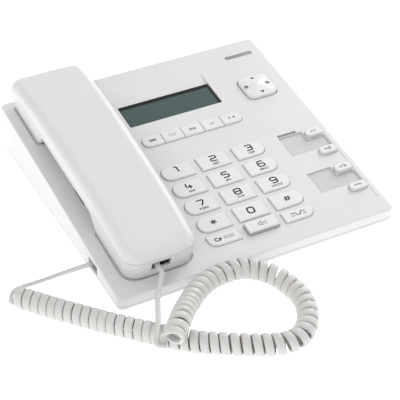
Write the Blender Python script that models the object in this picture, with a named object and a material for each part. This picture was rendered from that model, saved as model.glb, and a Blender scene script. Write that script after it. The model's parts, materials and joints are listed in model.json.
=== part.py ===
"""Corded desk telephone: sloping base, key field, display, handset and curly cord.

Metres, +Z up. The origin is on the table, under the middle of the base, and +Y points to
the rear of the telephone. Most parts sit on the deck, the sloping top face of the base.
Deck places are (u, v, w): u runs right from the left edge, v runs up the slope from the
front edge, and w is the height above the deck.
"""

import bpy
import bmesh
from math import cos, pi, radians, sin, sqrt, tan
from mathutils import Matrix, Vector

# ---------------------------------------------------------------- driving dimensions
BASE_WIDTH = 0.200
BASE_SLOPE = 0.200          # front to rear, along the deck
TILT = radians(7.5)
FRONT_HEIGHT = 0.011        # table to the deck's front edge
FOOT_HEIGHT = 0.0012
UNDERSIDE = 0.0015          # table to the bottom cover
SPLIT_HEIGHT = 0.0042       # table to the seam between the two covers
WALL = 0.0022
PLAN_RADIUS = 0.0040
EDGE_ROUND = 0.0009
TOUCH = 0.0003              # gap kept between pieces that touch

KEY_WIDTH = 0.0222
KEY_HEIGHT = 0.0133
KEY_PITCH_U = 0.0274
KEY_PITCH_V = 0.0176
KEY_FIELD_U = 0.1105        # middle column
KEY_ROW_V = 0.0884          # rear row
KEY_CORNER = 0.0058
KEY_TOP = 0.0011
KEY_GAP = 0.00035
KEY_TRAVEL = 0.0012
FLANGE = 0.0009
FUNCTION_KEY_HEIGHT = 0.0096
FUNCTION_ROW_V = 0.0209
SPEAKER_KEY_TOP = 0.0030

SOFT_KEYS = 5
SOFT_PITCH = 0.0153
SOFT_HEIGHT = 0.0106
SOFT_FIELD_U = 0.1121
SOFT_FIELD_V = 0.1229

MEMORY_KEYS = 4
MEMORY_WIDTH = 0.0124
MEMORY_HEIGHT = 0.0068
MEMORY_PITCH = 0.0196
MEMORY_U = 0.1881
MEMORY_V = 0.0864
MEMORY_TOP = 0.0024
CARD_WIDTH = 0.0320
CARD_BELOW_KEY = 0.0153
CARD_ABOVE_KEY = 0.0048
CARD_RECESS = 0.0018

DISPLAY_WIDTH = 0.0714
DISPLAY_HEIGHT = 0.0230
DISPLAY_U = 0.1097
DISPLAY_V = 0.1533
DISPLAY_SUNK = 0.0009
DISPLAY_RAMP = 0.0125

NAV_SIZE = 0.0234
NAV_U = 0.1765
NAV_V = 0.1464
NAV_TOP = 0.0020
NAV_GAP = 0.0006
NAV_CROWN = 0.0010

INDICATOR_LENGTH = 0.0220
INDICATOR_WIDTH = 0.0031
INDICATOR_U = 0.1815
INDICATOR_V = 0.1842

HANDSET_LENGTH = 0.1935
HANDSET_WIDTH = 0.0516      # at mid length
EAR_EXTRA = 0.0050          # how much wider the ear end is than the mouth end
HANDSET_WALL = 0.0020
HANDSET_U = 0.0342
HANDSET_V = 0.0080          # near end
HANDSET_CROWN = 0.0272      # deck to the top of the grip
HANDSET_END_TOP = 0.0190
GRIP_UNDERSIDE = 0.0110
PARTING = 0.0150            # deck to the seam between the two shells
MOUTH_CUP = 0.047
EAR_CUP = 0.0485
CUP_SLOPE = 0.0115
SEAT_DEPTH = 0.0012
SEAT_GAP = 0.0009
MOUTH_RADIUS = 0.0100       # plan corners of the two ends
EAR_RADIUS = 0.0065
END_LEAN = 0.0030           # how far the mouth end's foot stands back from its top
EAR_LEAN = 0.0065           # the same at the ear end
CUP_DRAFT = 0.955           # width of a cup's foot, as a share of the handset's width

STRAND = 0.0033
COIL_DIAMETER = 0.0140
PLUG_WIDTH = 0.0077
PLUG_HEIGHT = 0.0056
PLUG_LENGTH = 0.0115
SOCKET_WIDTH = 0.0130
SOCKET_HEIGHT = 0.0066
SOCKET_ASIDE = -0.0015      # socket opening, from the handset's middle
HANDSET_PLUG_ASIDE = -0.0040
HANDSET_SOCKET_W = 0.0092

HOOK_RADIUS = 0.0038
HOOK_TRAVEL = 0.0040
HOOK_V = 0.1580
CORD_JACK_V = 0.0425
CORD_JACK_DROP = 0.0078     # deck to the middle of the socket
LINE_JACK_X = 0.050
LINE_JACK_Z = 0.0150
SPEAKER_RADIUS = 0.0190
SPEAKER_V = 0.0925
SLOT_PITCH = 0.0075

# ---------------------------------------------------------------- values that follow
PLAN_DEPTH = BASE_SLOPE * cos(TILT)
FRONT_Y = -PLAN_DEPTH / 2
LEFT_X = -BASE_WIDTH / 2
MAT_TOP = WALL + TOUCH + FLANGE + KEY_TRAVEL + TOUCH
MAT_THICK = 0.0009
BOARD_TOP = MAT_TOP + MAT_THICK + TOUCH
BOARD_THICK = 0.0016
HANDSET_FLOOR = -SEAT_DEPTH + TOUCH
FLOOR_TOP = UNDERSIDE + WALL
SEAT_RUN = 0.3 * CUP_SLOPE      # the seat goes on until the cup's slope has left the deck


def deck_height(y):
    """Height of the deck above the table at world y."""
    return FRONT_HEIGHT + (y - FRONT_Y) * tan(TILT)


def deck_to_world(u, v, w):
    return Vector((
        LEFT_X + u,
        FRONT_Y + v * cos(TILT) - w * sin(TILT),
        FRONT_HEIGHT + v * sin(TILT) + w * cos(TILT)))


# ---------------------------------------------------------------- scene and materials
for leftover in list(bpy.data.objects):
    bpy.data.objects.remove(leftover)


def material(name, colour, roughness, metallic=0.0, transmission=0.0):
    finish = bpy.data.materials.new(name)
    finish.use_nodes = True
    shader = finish.node_tree.nodes["Principled BSDF"]
    shader.inputs["Base Color"].default_value = (*colour, 1.0)
    shader.inputs["Roughness"].default_value = roughness
    shader.inputs["Metallic"].default_value = metallic
    shader.inputs["Transmission Weight"].default_value = transmission
    return finish


WHITE_CASE = material("white_case", (0.80, 0.80, 0.79), 0.45)
WHITE_KEY = material("white_key", (0.84, 0.84, 0.83), 0.40)
WHITE_HANDSET = material("white_handset", (0.82, 0.82, 0.81), 0.32)
WHITE_CORD = material("white_cord", (0.74, 0.74, 0.72), 0.45)
GREY_LENS = material("grey_lens", (0.38, 0.38, 0.39), 0.25)
CLEAR_PLASTIC = material("clear_plastic", (0.70, 0.72, 0.72), 0.10, transmission=0.8)
DISPLAY_GLASS = material("display_glass", (0.09, 0.12, 0.11), 0.12)
CARD = material("card", (0.62, 0.62, 0.62), 0.80)
BOARD = material("circuit_board", (0.05, 0.22, 0.08), 0.50)
SILICONE = material("silicone", (0.55, 0.56, 0.55), 0.60)
BLACK_PLASTIC = material("black_plastic", (0.03, 0.03, 0.03), 0.45)
RUBBER = material("rubber", (0.06, 0.06, 0.06), 0.85)
STEEL = material("steel", (0.60, 0.60, 0.60), 0.30, metallic=1.0)

deck = bpy.data.objects.new("deck", None)
deck.location = (LEFT_X, FRONT_Y, FRONT_HEIGHT)
deck.rotation_euler = (TILT, 0.0, 0.0)
bpy.context.collection.objects.link(deck)
handset_axis = bpy.data.objects.new("handset_axis", None)
handset_axis.parent = deck
handset_axis.location = (HANDSET_U, HANDSET_V, 0.0)
bpy.context.collection.objects.link(handset_axis)
bpy.context.view_layer.update()


# ---------------------------------------------------------------- building helpers
def rounded_outline(width, height, radii, steps=4, inset=0.0):
    """Anticlockwise rounded rectangle about the origin; radii start at the front left."""
    points = []
    corners = ((-1, -1, pi), (1, -1, 1.5 * pi), (1, 1, 0.0), (-1, 1, 0.5 * pi))
    for (side_x, side_y, start), radius in zip(corners, radii):
        radius = max(radius - inset, 0.0002)
        centre_x = side_x * (width / 2 - inset - radius)
        centre_y = side_y * (height / 2 - inset - radius)
        for step in range(steps + 1):
            angle = start + step * pi / 2 / steps
            points.append((centre_x + radius * cos(angle), centre_y + radius * sin(angle)))
    return points


def circle_outline(radius, count=24):
    return [(radius * cos(2 * pi * i / count), radius * sin(2 * pi * i / count))
            for i in range(count)]


def at_height(outline, height):
    return [Vector((x, y, height)) for x, y in outline]


def loft_mesh(name, rings):
    """Closed solid through rings of equally many points, with flat ends."""
    mesh_data = bmesh.new()
    loops = [[mesh_data.verts.new(point) for point in ring] for ring in rings]
    for lower, upper in zip(loops, loops[1:]):
        for i in range(len(lower)):
            j = (i + 1) % len(lower)
            mesh_data.faces.new((lower[i], lower[j], upper[j], upper[i]))
    mesh_data.faces.new(list(reversed(loops[0])))
    mesh_data.faces.new(loops[-1])
    bmesh.ops.recalc_face_normals(mesh_data, faces=mesh_data.faces)
    mesh = bpy.data.meshes.new(name)
    mesh_data.to_mesh(mesh)
    mesh_data.free()
    return mesh


def add_object(name, mesh, finish=None, place=(0.0, 0.0, 0.0), parent=None):
    piece = bpy.data.objects.new(name, mesh)
    piece.location = place
    piece.parent = parent
    if finish:
        mesh.materials.append(finish)
    bpy.context.collection.objects.link(piece)
    return piece


def add_loft(name, rings, finish=None, place=(0.0, 0.0, 0.0), parent=None):
    return add_object(name, loft_mesh(name, rings), finish, place, parent)


def plate(name, outline, low, high, finish=None, place=(0.0, 0.0, 0.0), parent=None):
    """Outline extruded from height low to height high."""
    rings = [at_height(outline, low), at_height(outline, high)]
    return add_loft(name, rings, finish, place, parent)


def block(name, size, centre, finish=None, parent=None):
    outline = [(-size[0] / 2, -size[1] / 2), (size[0] / 2, -size[1] / 2),
               (size[0] / 2, size[1] / 2), (-size[0] / 2, size[1] / 2)]
    return plate(name, outline, -size[2] / 2, size[2] / 2, finish, centre, parent)


def turned(name, profile, finish=None, place=(0.0, 0.0, 0.0), parent=None, count=24):
    """Solid of revolution about +Z from (radius, height) pairs, bottom to top."""
    rings = [at_height(circle_outline(radius, count), height) for radius, height in profile]
    return add_loft(name, rings, finish, place, parent)


def boolean(piece, tool, operation="DIFFERENCE"):
    tool.hide_render = True
    tool.display_type = "WIRE"
    change = piece.modifiers.new(tool.name, "BOOLEAN")
    change.operation = operation
    change.object = tool
    change.solver = "EXACT"


def apply_booleans(piece):
    """Bakes the modifiers into the mesh and removes their cutters."""
    tools = [change.object for change in piece.modifiers]
    evaluated = piece.evaluated_get(bpy.context.evaluated_depsgraph_get())
    baked = bpy.data.meshes.new_from_object(evaluated)
    piece.modifiers.clear()
    piece.data = baked
    for tool in tools:
        bpy.data.objects.remove(tool)


# ---------------------------------------------------------------- key shapes
def key_rings(width, height, radii, top, steps, bevel=0.0006):
    flange_top = -(WALL + TOUCH)
    outline = rounded_outline(width, height, radii, steps)
    flange = rounded_outline(width, height, radii, steps, -FLANGE)
    crown = rounded_outline(width, height, radii, steps, bevel)
    return [at_height(flange, flange_top - FLANGE), at_height(flange, flange_top),
            at_height(outline, flange_top), at_height(outline, top - bevel),
            at_height(crown, top)]


def add_key(name, u, v, width, height, radii, top, steps=4):
    add_loft(name, key_rings(width, height, radii, top, steps), WHITE_KEY, (u, v, 0.0), deck)
    opening = rounded_outline(width, height, radii, steps, -KEY_GAP)
    return plate(f"cut_{name}", opening, -2 * WALL, WALL, place=(u, v, 0.0), parent=deck)


def column_radii(column):
    """The outer corners of the key field are large, the inner ones nearly square."""
    left = KEY_CORNER if column == 0 else 0.0006
    right = KEY_CORNER if column == 2 else 0.0006
    return (left, right, right, left)


NUMBER_NAMES = (("1", "2", "3"), ("4", "5", "6"), ("7", "8", "9"), ("star", "0", "hash"))
FUNCTION_NAMES = ("redial", "speaker", "flash")


def add_key_field():
    cutters = []
    for row, names in enumerate(NUMBER_NAMES):
        for column, label in enumerate(names):
            u = KEY_FIELD_U + (column - 1) * KEY_PITCH_U
            v = KEY_ROW_V - row * KEY_PITCH_V
            cutters.append(add_key(f"key_{label}", u, v, KEY_WIDTH, KEY_HEIGHT,
                                   column_radii(column), KEY_TOP))
    for column, label in enumerate(FUNCTION_NAMES):
        u = KEY_FIELD_U + (column - 1) * KEY_PITCH_U
        top = SPEAKER_KEY_TOP if label == "speaker" else KEY_TOP
        radii = (column_radii(column)[0], column_radii(column)[1], 0.0006, 0.0006)
        cutters.append(add_key(f"key_{label}", u, FUNCTION_ROW_V, KEY_WIDTH,
                               FUNCTION_KEY_HEIGHT, radii, top))
    return cutters


def add_soft_keys():
    """Five keys side by side in one long opening, each with its own short flange."""
    round_end = SOFT_HEIGHT * 0.42
    width = SOFT_PITCH - KEY_GAP
    for index in range(SOFT_KEYS):
        u = SOFT_FIELD_U + (index - (SOFT_KEYS - 1) / 2) * SOFT_PITCH
        left = round_end if index == 0 else 0.0003
        right = round_end if index == SOFT_KEYS - 1 else 0.0003
        radii = (left, right, right, left)
        rings = key_rings(width, SOFT_HEIGHT, radii, KEY_TOP, 4)
        for ring in rings[:2]:
            for point in ring:
                point.x = max(-width / 2, min(width / 2, point.x))
        add_loft(f"key_soft_{index + 1}", rings, WHITE_KEY, (u, SOFT_FIELD_V, 0.0), deck)
    ends = (round_end, round_end, round_end, round_end)
    opening = rounded_outline(SOFT_KEYS * SOFT_PITCH - KEY_GAP, SOFT_HEIGHT, ends, 4, -KEY_GAP)
    return [plate("cut_soft_keys", opening, -2 * WALL, WALL,
                  place=(SOFT_FIELD_U, SOFT_FIELD_V, 0.0), parent=deck)]


def memory_key_v(index):
    return MEMORY_V - index * MEMORY_PITCH


def add_memory_keys():
    cutters = []
    radii = (0.0028, 0.0012, 0.0012, 0.0028)
    for index in range(MEMORY_KEYS):
        cutters.append(add_key(f"key_memory_{index + 1}", MEMORY_U, memory_key_v(index),
                               MEMORY_WIDTH, MEMORY_HEIGHT, radii, MEMORY_TOP))
    return cutters


# ---------------------------------------------------------------- name card windows
def card_outline(key_v, margin):
    """Card shape beside a memory key: a rectangle with a corner left out for the key."""
    right = MEMORY_U + MEMORY_WIDTH / 2 + KEY_GAP - margin
    left = right - CARD_WIDTH + 2 * margin
    low = key_v - CARD_BELOW_KEY + margin
    high = key_v + CARD_ABOVE_KEY - margin
    notch_u = MEMORY_U - MEMORY_WIDTH / 2 - KEY_GAP - 0.0004 - margin
    notch_v = key_v - MEMORY_HEIGHT / 2 - KEY_GAP - 0.0004 - margin
    return [(left, low), (right, low), (right, notch_v), (notch_u, notch_v),
            (notch_u, high), (left, high)]


def add_cards():
    cutters = []
    for index, label in ((0, "upper"), (2, "lower")):
        key_v = memory_key_v(index)
        floor = -CARD_RECESS + TOUCH
        plate(f"index_card_{label}", card_outline(key_v, 0.0005), floor, floor + 0.0002,
              CARD, parent=deck)
        plate(f"card_window_{label}", card_outline(key_v, TOUCH), floor + 0.0002 + TOUCH,
              -0.0004, CLEAR_PLASTIC, parent=deck)
        cutters.append(plate(f"cut_card_{label}", card_outline(key_v, 0.0), -CARD_RECESS,
                             WALL, parent=deck))
    left = card_outline(MEMORY_V, 0.0)[0][0]
    notch = block("cut_card_notch", (0.0145, 0.0022, 4 * WALL),
                  (left + 0.0078, MEMORY_V + CARD_ABOVE_KEY + 0.0016, 0.0), parent=deck)
    line_length = MEMORY_V + CARD_ABOVE_KEY - FUNCTION_ROW_V + KEY_HEIGHT / 2
    line_u = MEMORY_U + MEMORY_WIDTH / 2 + KEY_GAP + 0.0009
    line_v = FUNCTION_ROW_V - KEY_HEIGHT / 2 + line_length / 2
    line = block("cut_panel_line", (0.0005, line_length, 0.0008), (line_u, line_v, 0.0),
                 parent=deck)
    return cutters + [notch, line]


# ---------------------------------------------------------------- display and indicator
def add_display():
    corners = (0.0008, 0.0008, 0.0008, 0.0008)
    lens = rounded_outline(DISPLAY_WIDTH, DISPLAY_HEIGHT, corners, 3)
    place = (DISPLAY_U, DISPLAY_V, 0.0)
    plate("display_window", lens, -WALL, -DISPLAY_SUNK, DISPLAY_GLASS, place, deck)
    panel = rounded_outline(DISPLAY_WIDTH + 0.004, DISPLAY_HEIGHT + 0.004, corners, 1)
    plate("lcd_panel", panel, -BOARD_TOP + TOUCH, -WALL - TOUCH, GREY_LENS, place, deck)
    hole = plate("cut_display", rounded_outline(DISPLAY_WIDTH, DISPLAY_HEIGHT, corners, 3, -TOUCH),
                 -2 * WALL, WALL, place=place, parent=deck)
    rear = DISPLAY_V + DISPLAY_HEIGHT / 2 + TOUCH
    half = DISPLAY_WIDTH / 2 + TOUCH
    sunk = DISPLAY_SUNK + 0.0004
    side = [Vector((0.0, rear - 0.0012, -sunk)), Vector((0.0, rear, -sunk)),
            Vector((0.0, rear + DISPLAY_RAMP, 0.0001)), Vector((0.0, rear + DISPLAY_RAMP, WALL)),
            Vector((0.0, rear - 0.0012, WALL))]
    rings = [[Vector((DISPLAY_U + end, point.y, point.z)) for point in side]
             for end in (-half, half)]
    ramp = add_loft("cut_display_ramp", rings, parent=deck)
    return [hole, ramp]


def add_indicator():
    ends = (INDICATOR_WIDTH / 2,) * 4
    place = (INDICATOR_U, INDICATOR_V, 0.0)
    lens = rounded_outline(INDICATOR_LENGTH, INDICATOR_WIDTH, ends)
    plate("indicator_lens", lens, -WALL - 0.0006, -0.0003, GREY_LENS, place, deck)
    hole = rounded_outline(INDICATOR_LENGTH, INDICATOR_WIDTH, ends, 4, -TOUCH)
    return [plate("cut_indicator", hole, -2 * WALL, WALL, place=place, parent=deck)]


# ---------------------------------------------------------------- four-way key
NAV_PIVOT = -0.0022
NAV_STEM_FOOT = -0.0048


def add_nav_key():
    """Four-way key with a low pyramid on top, which rocks on a gimbal stem."""
    corner = (0.0050,) * 4
    rim = rounded_outline(NAV_SIZE, NAV_SIZE, corner, 4, 0.0008)
    middle = [(x * 0.06, y * 0.06) for x, y in rim]
    rings = [at_height(rounded_outline(NAV_SIZE, NAV_SIZE, corner, 4), -0.0016),
             at_height(rounded_outline(NAV_SIZE, NAV_SIZE, corner, 4), NAV_TOP - 0.0008),
             at_height(rim, NAV_TOP), at_height(middle, NAV_TOP + NAV_CROWN)]
    for ring in rings:
        for point in ring:
            point.z -= NAV_PIVOT
    add_loft("nav_pad", rings, WHITE_KEY, (NAV_U, NAV_V, NAV_PIVOT), deck)
    turned("nav_stem", [(0.0016, NAV_STEM_FOOT - NAV_PIVOT), (0.0034, -0.0014),
                        (0.0034, 0.0002)],
           BLACK_PLASTIC, (NAV_U, NAV_V, NAV_PIVOT), deck, 16)
    hole = rounded_outline(NAV_SIZE, NAV_SIZE, corner, 4, -NAV_GAP)
    return [plate("cut_nav", hole, -2 * WALL, WALL, place=(NAV_U, NAV_V, 0.0), parent=deck)]


# ---------------------------------------------------------------- handset
def cup_blend(distance, length):
    """0 over a cup of that length, rising smoothly to 1 past its slope."""
    share = max(0.0, min(1.0, (distance - length) / CUP_SLOPE))
    return share * share * (3 - 2 * share)


def handset_width(spot):
    return HANDSET_WIDTH + EAR_EXTRA * (spot / HANDSET_LENGTH - 0.5)


def end_lean(height, lean=END_LEAN):
    """How far an end face stands back at this height above the deck."""
    return lean * (1 - height / HANDSET_END_TOP)


def handset_rings(shrink):
    """Cross-sections from the near end to the far end, each drawn in by shrink."""
    start = shrink
    stop = HANDSET_LENGTH - shrink
    near_radius = MOUTH_RADIUS - shrink
    far_radius = EAR_RADIUS - shrink
    straight = stop - start - near_radius - far_radius
    spots = [(start + near_radius * (1 - cos(pi / 2 * i / 5)), near_radius) for i in range(6)]
    spots += [(start + near_radius + straight * i / 26, 0.0) for i in range(1, 26)]
    spots += [(stop - far_radius * (1 - cos(pi / 2 * i / 5)), far_radius)
              for i in reversed(range(6))]
    rings = []
    for spot, radius in spots:
        gap = max(0.0, radius - min(spot - start, stop - spot))
        pull = radius - sqrt(max(0.0, radius * radius - gap * gap))
        half = handset_width(spot) / 2 - shrink - pull
        offset = 2 * spot / HANDSET_LENGTH - 1
        crown = HANDSET_CROWN - (HANDSET_CROWN - HANDSET_END_TOP) * abs(offset) ** 3
        top = crown - shrink - 0.3 * pull
        grip = cup_blend(spot, MOUTH_CUP) * cup_blend(HANDSET_LENGTH - spot, EAR_CUP)
        low = HANDSET_FLOOR + (GRIP_UNDERSIDE - HANDSET_FLOOR) * grip + shrink + 0.12 * pull
        section = rounded_outline(2 * half, top - low, (0.0028, 0.0028, 0.0068, 0.0068), 5)
        ring = []
        for x, z in section:
            height = z + (top + low) / 2
            lean = max(0.0, PARTING - height) / (PARTING - HANDSET_FLOOR)
            draft = 1 - (1 - CUP_DRAFT) * lean
            lean_here = end_lean(height) if offset < 0 else -end_lean(height, EAR_LEAN)
            back = lean_here * abs(offset) ** 6
            ring.append(Vector((x * draft, spot + back, height)))
        rings.append(ring)
    return rings


def cylinder_cut(name, radius, low, high, place, parent, count=12):
    return plate(name, circle_outline(radius, count), low, high, place=place, parent=parent)


EAR_CENTRE = HANDSET_LENGTH - (EAR_CUP + EAR_LEAN - END_LEAN) / 2
MOUTH_CENTRE = MOUTH_CUP / 2 + 0.006


def add_handset():
    outer = handset_rings(0.0)
    inner = handset_rings(HANDSET_WALL)
    big = HANDSET_LENGTH * 2
    for name, seam_side in (("handset_back_shell", 1), ("handset_front_shell", -1)):
        shell = add_loft(name, outer, WHITE_HANDSET, parent=handset_axis)
        boolean(shell, add_loft("cut_hollow", inner, parent=handset_axis))
        seam = PARTING + seam_side * TOUCH / 2
        boolean(shell, block("cut_seam", (big, big, big),
                             (0.0, HANDSET_LENGTH / 2, seam - seam_side * big / 2),
                             parent=handset_axis))
        if seam_side < 0:
            socket = (SOCKET_WIDTH, 2 * (HANDSET_WALL + END_LEAN), SOCKET_HEIGHT)
            boolean(shell, block("cut_socket", socket, (SOCKET_ASIDE, 0.0, HANDSET_SOCKET_W),
                                 parent=handset_axis))
            holes = [(0.0, 0.0)] + [(0.006 * cos(i * pi / 3), 0.006 * sin(i * pi / 3))
                                    for i in range(6)]
            for index, (x, y) in enumerate(holes):
                boolean(shell, cylinder_cut(f"cut_ear_{index}", 0.0012, -0.004, 0.004,
                                            (x, EAR_CENTRE + y, 0.0), handset_axis, 8))
            boolean(shell, cylinder_cut("cut_mouth", 0.0014, -0.004, 0.004,
                                        (0.0, MOUTH_CENTRE + 0.006, 0.0), handset_axis, 8))
        bpy.context.view_layer.update()
        apply_booleans(shell)
    inside = HANDSET_FLOOR + HANDSET_WALL + TOUCH
    turned("receiver_capsule", [(0.0150, inside), (0.0165, inside + 0.001),
                                (0.0165, inside + 0.005), (0.0080, inside + 0.0065),
                                (0.0080, inside + 0.009)],
           BLACK_PLASTIC, (0.0, EAR_CENTRE, 0.0), handset_axis)
    turned("handset_microphone", [(0.0048, inside), (0.0048, inside + 0.0045)],
           STEEL, (0.0, MOUTH_CENTRE + 0.006, 0.0), handset_axis, 16)


# ---------------------------------------------------------------- sockets and plugs
def add_socket(name, size, mouth, depth, place, parent, spin=0.0):
    """Box whose front face, at y = 0, holds a rectangular mouth."""
    box = block(name, size, place, BLACK_PLASTIC, parent)
    box.rotation_euler = (0.0, 0.0, spin)
    box.data.transform(Matrix.Translation((0.0, size[1] / 2, 0.0)))
    cut = block(f"cut_{name}", (mouth[0], 2 * depth, mouth[1]), place, parent=parent)
    cut.rotation_euler = (0.0, 0.0, spin)
    boolean(box, cut)
    bpy.context.view_layer.update()
    apply_booleans(box)


def add_plug(name, place, parent, spin=0.0):
    """Modular plug along +y from its cord end at y = 0, with a tapered cord end."""
    rings = []
    for y, share in ((0.0, 0.62), (0.0022, 1.0), (PLUG_LENGTH, 1.0)):
        outline = rounded_outline(PLUG_WIDTH * share, PLUG_HEIGHT * share, (0.0004,) * 4, 1)
        rings.append([Vector((x, y, z)) for x, z in outline])
    plug = add_loft(name, rings, CLEAR_PLASTIC, place, parent)
    plug.rotation_euler = (0.0, 0.0, spin)


PLUG_INSET = END_LEAN           # cord end of the handset's plug, from the near end
BASE_PLUG_INSET = 0.0012        # cord end of the base's plug, from the left wall
CORD_JACK_Y = FRONT_Y + CORD_JACK_V * cos(TILT)
CORD_JACK_Z = deck_height(CORD_JACK_Y) - CORD_JACK_DROP
SOCKET_WALL = 0.0011


def add_sockets():
    mouth = (PLUG_WIDTH + 2 * TOUCH, PLUG_HEIGHT + 2 * TOUCH)
    height = mouth[1] + 2 * SOCKET_WALL
    inside = HANDSET_WALL + TOUCH + end_lean(HANDSET_SOCKET_W - height / 2)
    add_socket("handset_jack", (0.0120, 0.0140, height), mouth, 0.0125,
               (HANDSET_PLUG_ASIDE, inside, HANDSET_SOCKET_W), handset_axis)
    add_plug("plug_handset", (HANDSET_PLUG_ASIDE, PLUG_INSET, HANDSET_SOCKET_W), handset_axis)
    add_socket("handset_cord_jack", (0.0135, 0.0140, mouth[1] + 2 * SOCKET_WALL), mouth, 0.0125,
               (LEFT_X + WALL + TOUCH, CORD_JACK_Y, CORD_JACK_Z), None, -pi / 2)
    add_plug("plug_base", (LEFT_X + BASE_PLUG_INSET, CORD_JACK_Y, CORD_JACK_Z), None, -pi / 2)
    add_socket("line_jack", (0.0150, 0.0140, 0.0112), (0.0119, 0.0079), 0.0120,
               (LINE_JACK_X, -FRONT_Y - WALL - TOUCH, LINE_JACK_Z), None, pi)


# ---------------------------------------------------------------- base covers
def plan_outline(inset, steps=5):
    radius = (PLAN_RADIUS,) * 4
    return rounded_outline(BASE_WIDTH, PLAN_DEPTH, radius, steps, inset)


def under_deck(outline, drop):
    return [Vector((x, y, deck_height(y) - drop / cos(TILT))) for x, y in outline]


SCREW_X = BASE_WIDTH / 2 - 0.0125
SCREW_Y = PLAN_DEPTH / 2 - 0.0075
FOOT_X = BASE_WIDTH / 2 - 0.026
FOOT_Y = PLAN_DEPTH / 2 - 0.014
SCREW_HEAD = 0.0028
SCREW_SHANK = 0.0013
SCREW_COVER = 0.0015          # plastic left between a pilot hole and the deck's wall
CORNERS = (("front_left", -1, -1), ("front_right", 1, -1),
           ("rear_left", -1, 1), ("rear_right", 1, 1))


def add_top_cover(cutters):
    rings = [at_height(plan_outline(0.0), SPLIT_HEIGHT + TOUCH),
             under_deck(plan_outline(0.0), EDGE_ROUND),
             under_deck(plan_outline(0.3 * EDGE_ROUND), 0.3 * EDGE_ROUND),
             under_deck(plan_outline(EDGE_ROUND), 0.0)]
    cover = add_loft("base_top_cover", rings, WHITE_CASE)
    hollow = [at_height(plan_outline(WALL, 3), 0.0), under_deck(plan_outline(WALL, 3), WALL)]
    boolean(cover, add_loft("cut_inside", hollow))
    for name, side_x, side_y in CORNERS:
        x = side_x * SCREW_X
        y = side_y * SCREW_Y
        boss = plate(f"boss_{name}", circle_outline(0.0032, 16), FLOOR_TOP + TOUCH,
                     deck_height(y) - WALL / 2, place=(x, y, 0.0))
        boolean(cover, boss, "UNION")
        pilot = plate(f"cut_pilot_{name}", circle_outline(SCREW_SHANK + TOUCH, 12), 0.0,
                      deck_height(y) - WALL - SCREW_COVER, place=(x, y, 0.0))
        boolean(cover, pilot)
    for cutter in cutters:
        boolean(cover, cutter)
    for name, near, far, width, radii in (
            ("mouth", END_LEAN - SEAT_GAP, MOUTH_CUP + SEAT_RUN, handset_width(MOUTH_CUP),
             (MOUTH_RADIUS, MOUTH_RADIUS, 0.002, 0.002)),
            ("ear", HANDSET_LENGTH - EAR_CUP - SEAT_RUN, HANDSET_LENGTH + SEAT_GAP - EAR_LEAN,
             handset_width(HANDSET_LENGTH), (0.002, 0.002, EAR_RADIUS, EAR_RADIUS))):
        seat = rounded_outline(width * CUP_DRAFT + 2 * SEAT_GAP, far - near, radii, 5)
        boolean(cover, plate(f"cut_seat_{name}", seat, -SEAT_DEPTH, WALL,
                             place=(HANDSET_U, HANDSET_V + (near + far) / 2, 0.0),
                             parent=deck))
    for index in range(5):
        u = HANDSET_U + (index - 2) * SLOT_PITCH - 0.0045
        slot = rounded_outline(0.0022, 0.0170, (0.0011,) * 4, 3)
        boolean(cover, plate(f"cut_slot_{index}", slot, -2 * WALL, WALL,
                             place=(u, SPEAKER_V, 0.0), parent=deck))
    boolean(cover, cylinder_cut("cut_hook", HOOK_RADIUS + TOUCH, -2 * WALL, WALL,
                                (HANDSET_U, HOOK_V, 0.0), deck, 16))
    boolean(cover, block("cut_cord_jack", (4 * WALL, SOCKET_WIDTH, SOCKET_HEIGHT),
                         (LEFT_X, CORD_JACK_Y + HANDSET_PLUG_ASIDE - SOCKET_ASIDE, CORD_JACK_Z)))
    boolean(cover, block("cut_line_jack", (0.0125, 4 * WALL, 0.0085),
                         (LINE_JACK_X, -FRONT_Y, LINE_JACK_Z)))
    bpy.context.view_layer.update()
    apply_booleans(cover)


def add_bottom_cover():
    """Shallow tray with a low rim that stands inside the top cover's walls."""
    rings = [at_height(plan_outline(0.0008), UNDERSIDE),
             at_height(plan_outline(0.0), UNDERSIDE + 0.0008),
             at_height(plan_outline(0.0), SPLIT_HEIGHT),
             at_height(plan_outline(WALL + TOUCH), SPLIT_HEIGHT),
             at_height(plan_outline(WALL + TOUCH), SPLIT_HEIGHT + 0.0009)]
    tray = add_loft("base_bottom_cover", rings, WHITE_CASE)
    inner = WALL + TOUCH + 0.0012
    boolean(tray, plate("cut_tray", plan_outline(inner, 3), FLOOR_TOP, 2 * SPLIT_HEIGHT))
    boolean(tray, block("cut_rim", (4 * inner, 0.0160, SPLIT_HEIGHT),
                        (LEFT_X + WALL + 2 * inner, CORD_JACK_Y, FLOOR_TOP + SPLIT_HEIGHT / 2)))
    for name, side_x, side_y in CORNERS:
        place = (side_x * SCREW_X, side_y * SCREW_Y, 0.0)
        boolean(tray, cylinder_cut(f"cut_shank_{name}", SCREW_SHANK + TOUCH, 0.0,
                                   2 * FLOOR_TOP, place, None))
        boolean(tray, cylinder_cut(f"cut_head_{name}", SCREW_HEAD + TOUCH, 0.0,
                                   UNDERSIDE + 0.0013, place, None, 16))
    bpy.context.view_layer.update()
    apply_booleans(tray)
    for name, side_x, side_y in CORNERS:
        head = UNDERSIDE + 0.0013 - TOUCH
        tip = min(FLOOR_TOP + 0.0038,
                  deck_height(side_y * SCREW_Y) - WALL - SCREW_COVER - TOUCH)
        turned(f"screw_{name}", [(SCREW_HEAD, UNDERSIDE + 0.0001), (SCREW_HEAD, head),
                                 (SCREW_SHANK, head), (SCREW_SHANK, tip)],
               STEEL, (side_x * SCREW_X, side_y * SCREW_Y, 0.0), None, 12)
        turned(f"foot_{name}", [(0.0062, 0.0), (0.0068, 0.0004), (0.0068, FOOT_HEIGHT)],
               RUBBER, (side_x * FOOT_X, side_y * FOOT_Y, 0.0), None, 20)


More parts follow.
